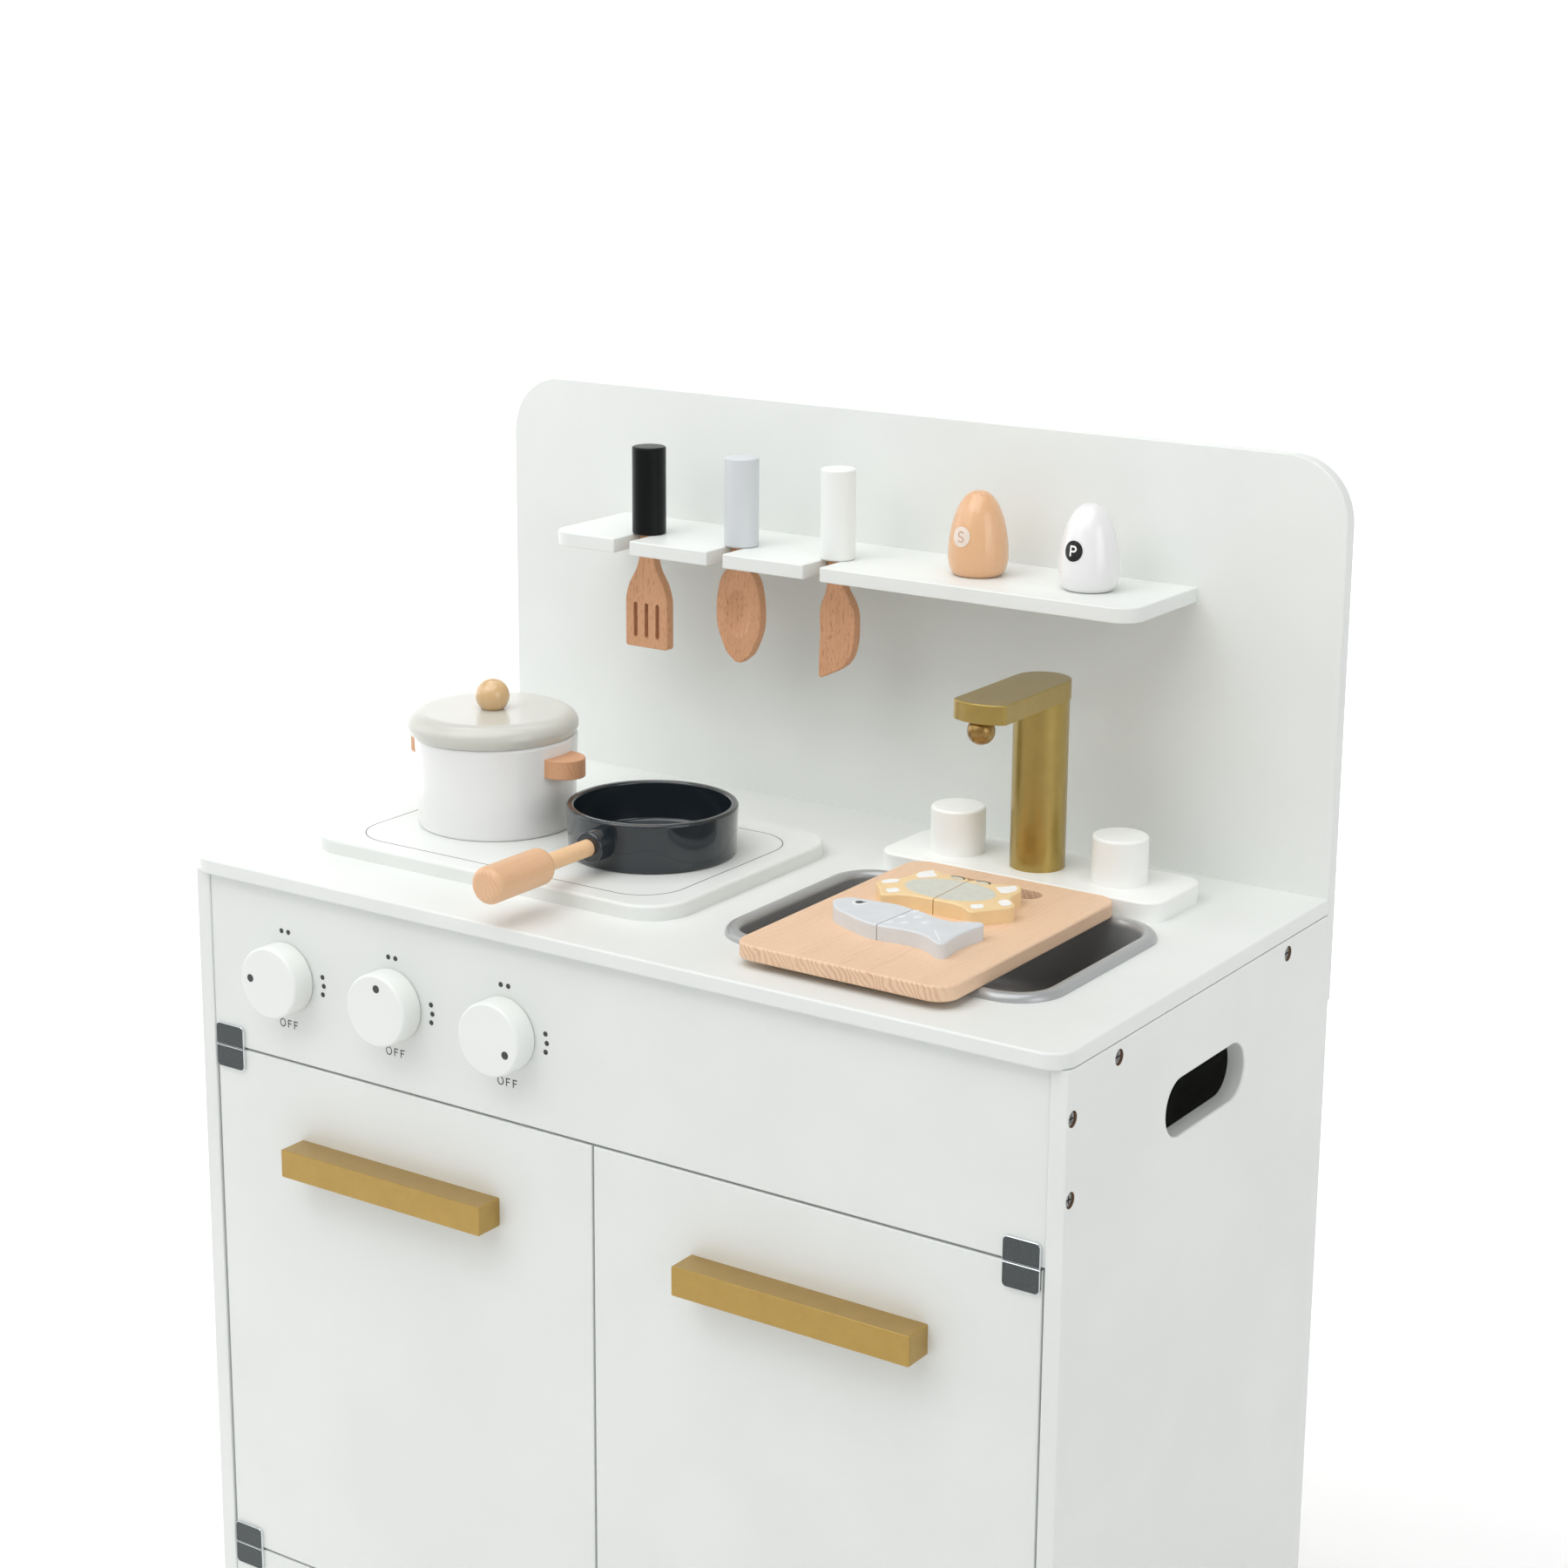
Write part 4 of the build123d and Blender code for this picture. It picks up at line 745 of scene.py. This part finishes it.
# %% [markdown]
# The toy fish has a round eye, six pale scales and two lines on its tail. The crab has a pale oval
# belly, white tips on its legs and claws, and two sleepy eyes. All of it is drawn in the toy's own
# direction: the fish from its nose, the crab from the middle of its front edge. A half that slides
# away has to take its own share of the print along, so the belly is clipped at the cut.

# %% Marks on the toys
board_corner = low("cutting_board")[:2]
toy_top = high("fish_head")[2]
toy_ink = 0.6
half_gap = 0.3


def on_toy(from_left, from_front, turn, lift=0.0):
    """Lays a print on a toy that starts at a place on the board and is turned about the vertical:
    x = x0 + u cos t - v sin t, y = y0 + u sin t + v cos t."""
    bend = np.radians(turn)
    start = board_corner + [from_left, from_front]

    def place(u, v, height):
        return np.stack([start[0] + u * np.cos(bend) - v * np.sin(bend),
                         start[1] + u * np.sin(bend) + v * np.cos(bend),
                         toy_top + (height + lift) * toy_ink], axis=1)

    return place


fish_place = (20.0, 72.05, -3.7)
crab_place = (64.7, 103.35, 1.7)
on_fish = on_toy(*fish_place)
over_fish = on_toy(*fish_place, INK)
on_crab = on_toy(*crab_place)
over_crab = on_toy(*crab_place, INK)
over_eye = on_toy(*crab_place, 2 * INK)

eye_white = blot(oval(15.0, 3.2, 4.2, 4.4))
pupil = blot(oval(14.4, 3.8, 2.3, 2.5))
lash = blot(oval(16.6, 5.0, 0.6, 1.7, turn=-25))
lay("fish_eye_white", [eye_white], on_fish, ink_faint, "fish_front")
lay("fish_eye", [pupil, lash], over_fish, ink_soft_black, "fish_front")
scale_spots = ((47.6, 9.3), (47.4, -2.8), (47.4, -14.8), (54.6, 2.3), (54.6, -10.3), (63.3, -3.1))
scales = [blot(oval(u, v, 1.6, 3.1, turn=-14)) for u, v in scale_spots]
lay("fish_scales", scales, on_fish, ink_faint, "fish_rear")
tail_rays = [line(straight((74.8, 10.4), (82.5, 13.4)), 0.6),
             line(straight((74.8, -10.4), (87.2, -23.4)), 0.6)]
lay("fish_tail_lines", tail_rays, on_fish, ink_white, "fish_rear")

claw_tip = np.array([(26.2, 47.4), (30.0, 43.0), (31.3, 38.0), (29.5, 32.0),
                     (26.2, 30.0), (22.0, 34.3), (18.3, 38.4), (23.6, 43.0)])
leg_tip = np.array([(33.4, 21.5), (37.8, 19.8), (41.0, 15.2),
                    (40.4, 12.0), (37.9, 9.6), (31.9, 15.4)])
front_tip = np.array([(31.4, 1.2), (27.5, 7.2), (22.0, 2.3), (26.4, -4.0)])
belly_oval = (-0.5, 20.3, 27.3, 17.5)
eye_out = 8.2


def rounded(outline, count=10, soft=0.3):
    """A softened outline: every corner c becomes an arc of a parabola between two points m0 and m1
    that lie a share, soft, of the way along its sides: (1-t)^2 m0 + 2t(1-t) c + t^2 m1."""
    before = outline + (np.roll(outline, 1, axis=0) - outline) * soft
    after = outline + (np.roll(outline, -1, axis=0) - outline) * soft
    t = np.linspace(0, 1, count, endpoint=False)[None, :, None]
    bent = ((1 - t) ** 2 * before[:, None] + 2 * t * (1 - t) * outline[:, None]
            + t ** 2 * after[:, None])
    return bent.reshape(-1, 2)


def half_of(outline, side):
    """The outline's points pushed back to its own side of the crab's cut."""
    kept = outline.copy()
    kept[:, 0] = side * np.maximum(side * kept[:, 0], half_gap)
    return kept


for side, name in SIDES:
    body = f"crab_{name}"
    belly = half_of(oval(*belly_oval, 80), side)
    lay(f"crab_{name}_belly", [blot(belly)], on_crab, ink_sage, body)
    marks = [blot(rounded(tip) * [side, 1]) for tip in (claw_tip, leg_tip, front_tip)]
    lay(f"crab_{name}_marks", marks, over_crab, ink_white, body)
    eye = blot(oval(side * eye_out, 41.4, 4.5, 2.6, turn=-8))
    lay(f"crab_{name}_eye", [eye], over_crab, ink_grey, body)
    eyelid = line(arc(side * eye_out + 0.4, 41.2, 4.4, 3.0, 0, 160), 1.0)
    lay(f"crab_{name}_eyelid", [eyelid], over_eye, ink_lid, body)

# %% [markdown]
# Each screw sits in a drilled recess, and a drill goes through the paint into bare brown fibre
# board. A short sleeve lines the recess: a profile of wall and floor, turned about the screw's
# axis. It stops a hair below the surface, so the painted face stays whole.

# %% Bare board in the drilled recesses
raw_fibre = Finish("raw_fibre_board")
fuzz = raw_fibre.noise(raw_fibre.place(), 2.2, 3.0, 0.7)
raw_board = raw_fibre.set(
    Base_Color=raw_fibre.blend(fuzz, shade(150, 120, 92), shade(108, 82, 62)),
    Roughness=0.85 + (fuzz - 0.5) * 0.2, Normal=raw_fibre.bump(fuzz, 0.08))
recess_radius = 4.5
recess_depth = 3.4
floor_inner = 3.9
hair = 0.12


def sleeve(count=36):
    """Wall and floor of a recess as (out, across, across) points, turned about the first axis.
    The profile runs down the wall at full radius, in along the floor, and back a hair inside."""
    bottom = -recess_depth
    profile = np.array([(-hair, recess_radius), (bottom, recess_radius),
                        (bottom, floor_inner), (bottom + hair, floor_inner),
                        (bottom + hair, recess_radius - hair), (-hair, recess_radius - hair)])
    out, radius = profile.T
    angle = np.linspace(0, 2 * np.pi, count, endpoint=False)
    points = np.stack(np.broadcast_arrays(out[:, None], radius[:, None] * np.cos(angle),
                                          radius[:, None] * np.sin(angle)), axis=-1)
    faces = grid_faces(len(out), count, ring=True, loop=True)
    return points.reshape(-1, 3), faces


screw_spots = ((-97.25, 482.0), (105.75, 482.0), (-145.55, 463.9), (-145.55, 420.3),
               (-91.05, 40.5), (98.95, 40.5))
side_face = high("right_side_panel")[0]
for side, name in SIDES:
    lining = []
    fibres = []
    for across_y, across_z in screw_spots:
        points, faces = sleeve()
        start = len(points) * len(lining)
        lining.append(points * [side, 1, 1] + [side * side_face, across_y, across_z])
        fibres += [[corner + start for corner in face] for face in faces]
    as_piece(f"{name}_recess_sleeves", np.vstack(lining), fibres, raw_board, "cabinet")
    print(name, "recesses lined", len(lining))

# %% [markdown]
# The floor is a white dish that runs off flat on all sides and rises far away in a gentle curve, so
# no horizon line cuts a picture, whichever way the camera looks. It is a profile of height against
# distance, turned clockwise about the upright axis so that its faces look up. A single point in the
# middle closes it.

# %% Floor and backdrop
flat_radius = 3.2
steepening = 0.22
reach = np.linspace(0.5, 9.0, 50)
bearing = -np.linspace(0, 2 * np.pi, 96, endpoint=False)
rise = np.maximum(reach - flat_radius, 0.0) ** 2 * steepening
floor_points = np.stack(np.broadcast_arrays(
    reach[:, None] * np.cos(bearing), reach[:, None] * np.sin(bearing), rise[:, None]), axis=-1)
floor_points = np.vstack([np.zeros((1, 3)), floor_points.reshape(-1, 3)])
around = np.arange(len(bearing))
after = (around + 1) % len(bearing)
floor_faces = grid_faces(len(reach), len(bearing), start=1, ring=True)
floor_faces += np.stack([np.zeros_like(around), 1 + after, 1 + around], axis=1).tolist()
floor_mesh = bpy.data.meshes.new("studio_floor")
floor_mesh.from_pydata(floor_points.tolist(), [], floor_faces)
floor = bpy.data.objects.new("studio_floor", floor_mesh)
bpy.context.scene.collection.objects.link(floor)
paper = Finish("studio_paper")
tooth = paper.noise(paper.place(), 0.02, 3.0)
floor_mesh.materials.append(paper.set(
    Base_Color=paper.blend(tooth, shade(250, 250, 250), shade(247, 247, 247)),
    Roughness=0.9 + (tooth - 0.5) * 0.1))
floor_mesh.polygons.foreach_set("use_smooth", np.ones(len(floor_mesh.polygons), bool))
print("floor faces", len(floor_mesh.polygons))

# %% [markdown]
# The light is a dim white room with four large soft boxes. The strongest of them hangs overhead
# and lifts the worktop, the shelf and the lid. One in front, one on the left and one on the right
# share the upright faces, so that no shadow is hard. A fifth, behind the kitchen, looks away from
# it and washes the backdrop white. The picture is kept plain: no film curve on top.

# %% Light
world = bpy.data.worlds.new("studio_air")
world.use_nodes = True
air = world.node_tree.nodes["Background"]
air.inputs["Color"].default_value = (1.0, 1.0, 1.0, 1.0)
air.inputs["Strength"].default_value = 0.3
bpy.context.scene.world = world
bpy.context.scene.view_settings.view_transform = "Standard"
kitchen_middle = (0.0, 0.0, 0.45)


def soft_box(name, spot, wide, high_side, watts, aim):
    """A rectangular area light at a place, turned towards its aim."""
    light = bpy.data.lights.new(name, "AREA")
    light.shape = "RECTANGLE"
    light.size = wide
    light.size_y = high_side
    light.energy = watts
    lamp = bpy.data.objects.new(name, light)
    lamp.location = spot
    away = Vector(spot) - Vector(aim)
    lamp.rotation_euler = away.to_track_quat("Z", "Y").to_euler()
    bpy.context.scene.collection.objects.link(lamp)


boxes = (
    ("front_box", (-1.0, -1.9, 2.3), 2.2, 2.0, 16, kitchen_middle),
    ("right_box", (2.6, -0.7, 1.3), 1.4, 1.8, 13, kitchen_middle),
    ("left_box", (-2.4, -0.8, 1.4), 1.6, 1.8, 9, kitchen_middle),
    ("top_box", (0.0, -0.7, 2.5), 2.2, 2.2, 30, kitchen_middle),
    ("backdrop_box", (-0.8, 1.2, 3.4), 4.0, 1.2, 300, (-3.4, 5.0, 0.8)),
)
for box in boxes:
    soft_box(*box)
print("lights", len(boxes))

# %% [markdown]
# The camera stands to the right of the kitchen at about the height of a seated adult. Its place,
# turn and lens come from lining up the edges of the cabinet with those in the picture. The shift
# says that the picture was cropped from a taller or lower one.

# %% Camera
camera_data = bpy.data.cameras.new("portrait_camera")
camera_data.sensor_width = 36.0
camera_data.lens = 69.083
camera_data.shift_y = -0.0572
camera_data.clip_end = 40.0
camera = bpy.data.objects.new("portrait_camera", camera_data)
camera.location = (0.96784, -1.39811, 1.02501)
camera.rotation_euler = np.radians((76.32733, -0.41157, 34.06674)).tolist()
bpy.context.scene.collection.objects.link(camera)
bpy.context.scene.camera = camera
print("camera at", [round(c, 3) for c in camera.location])
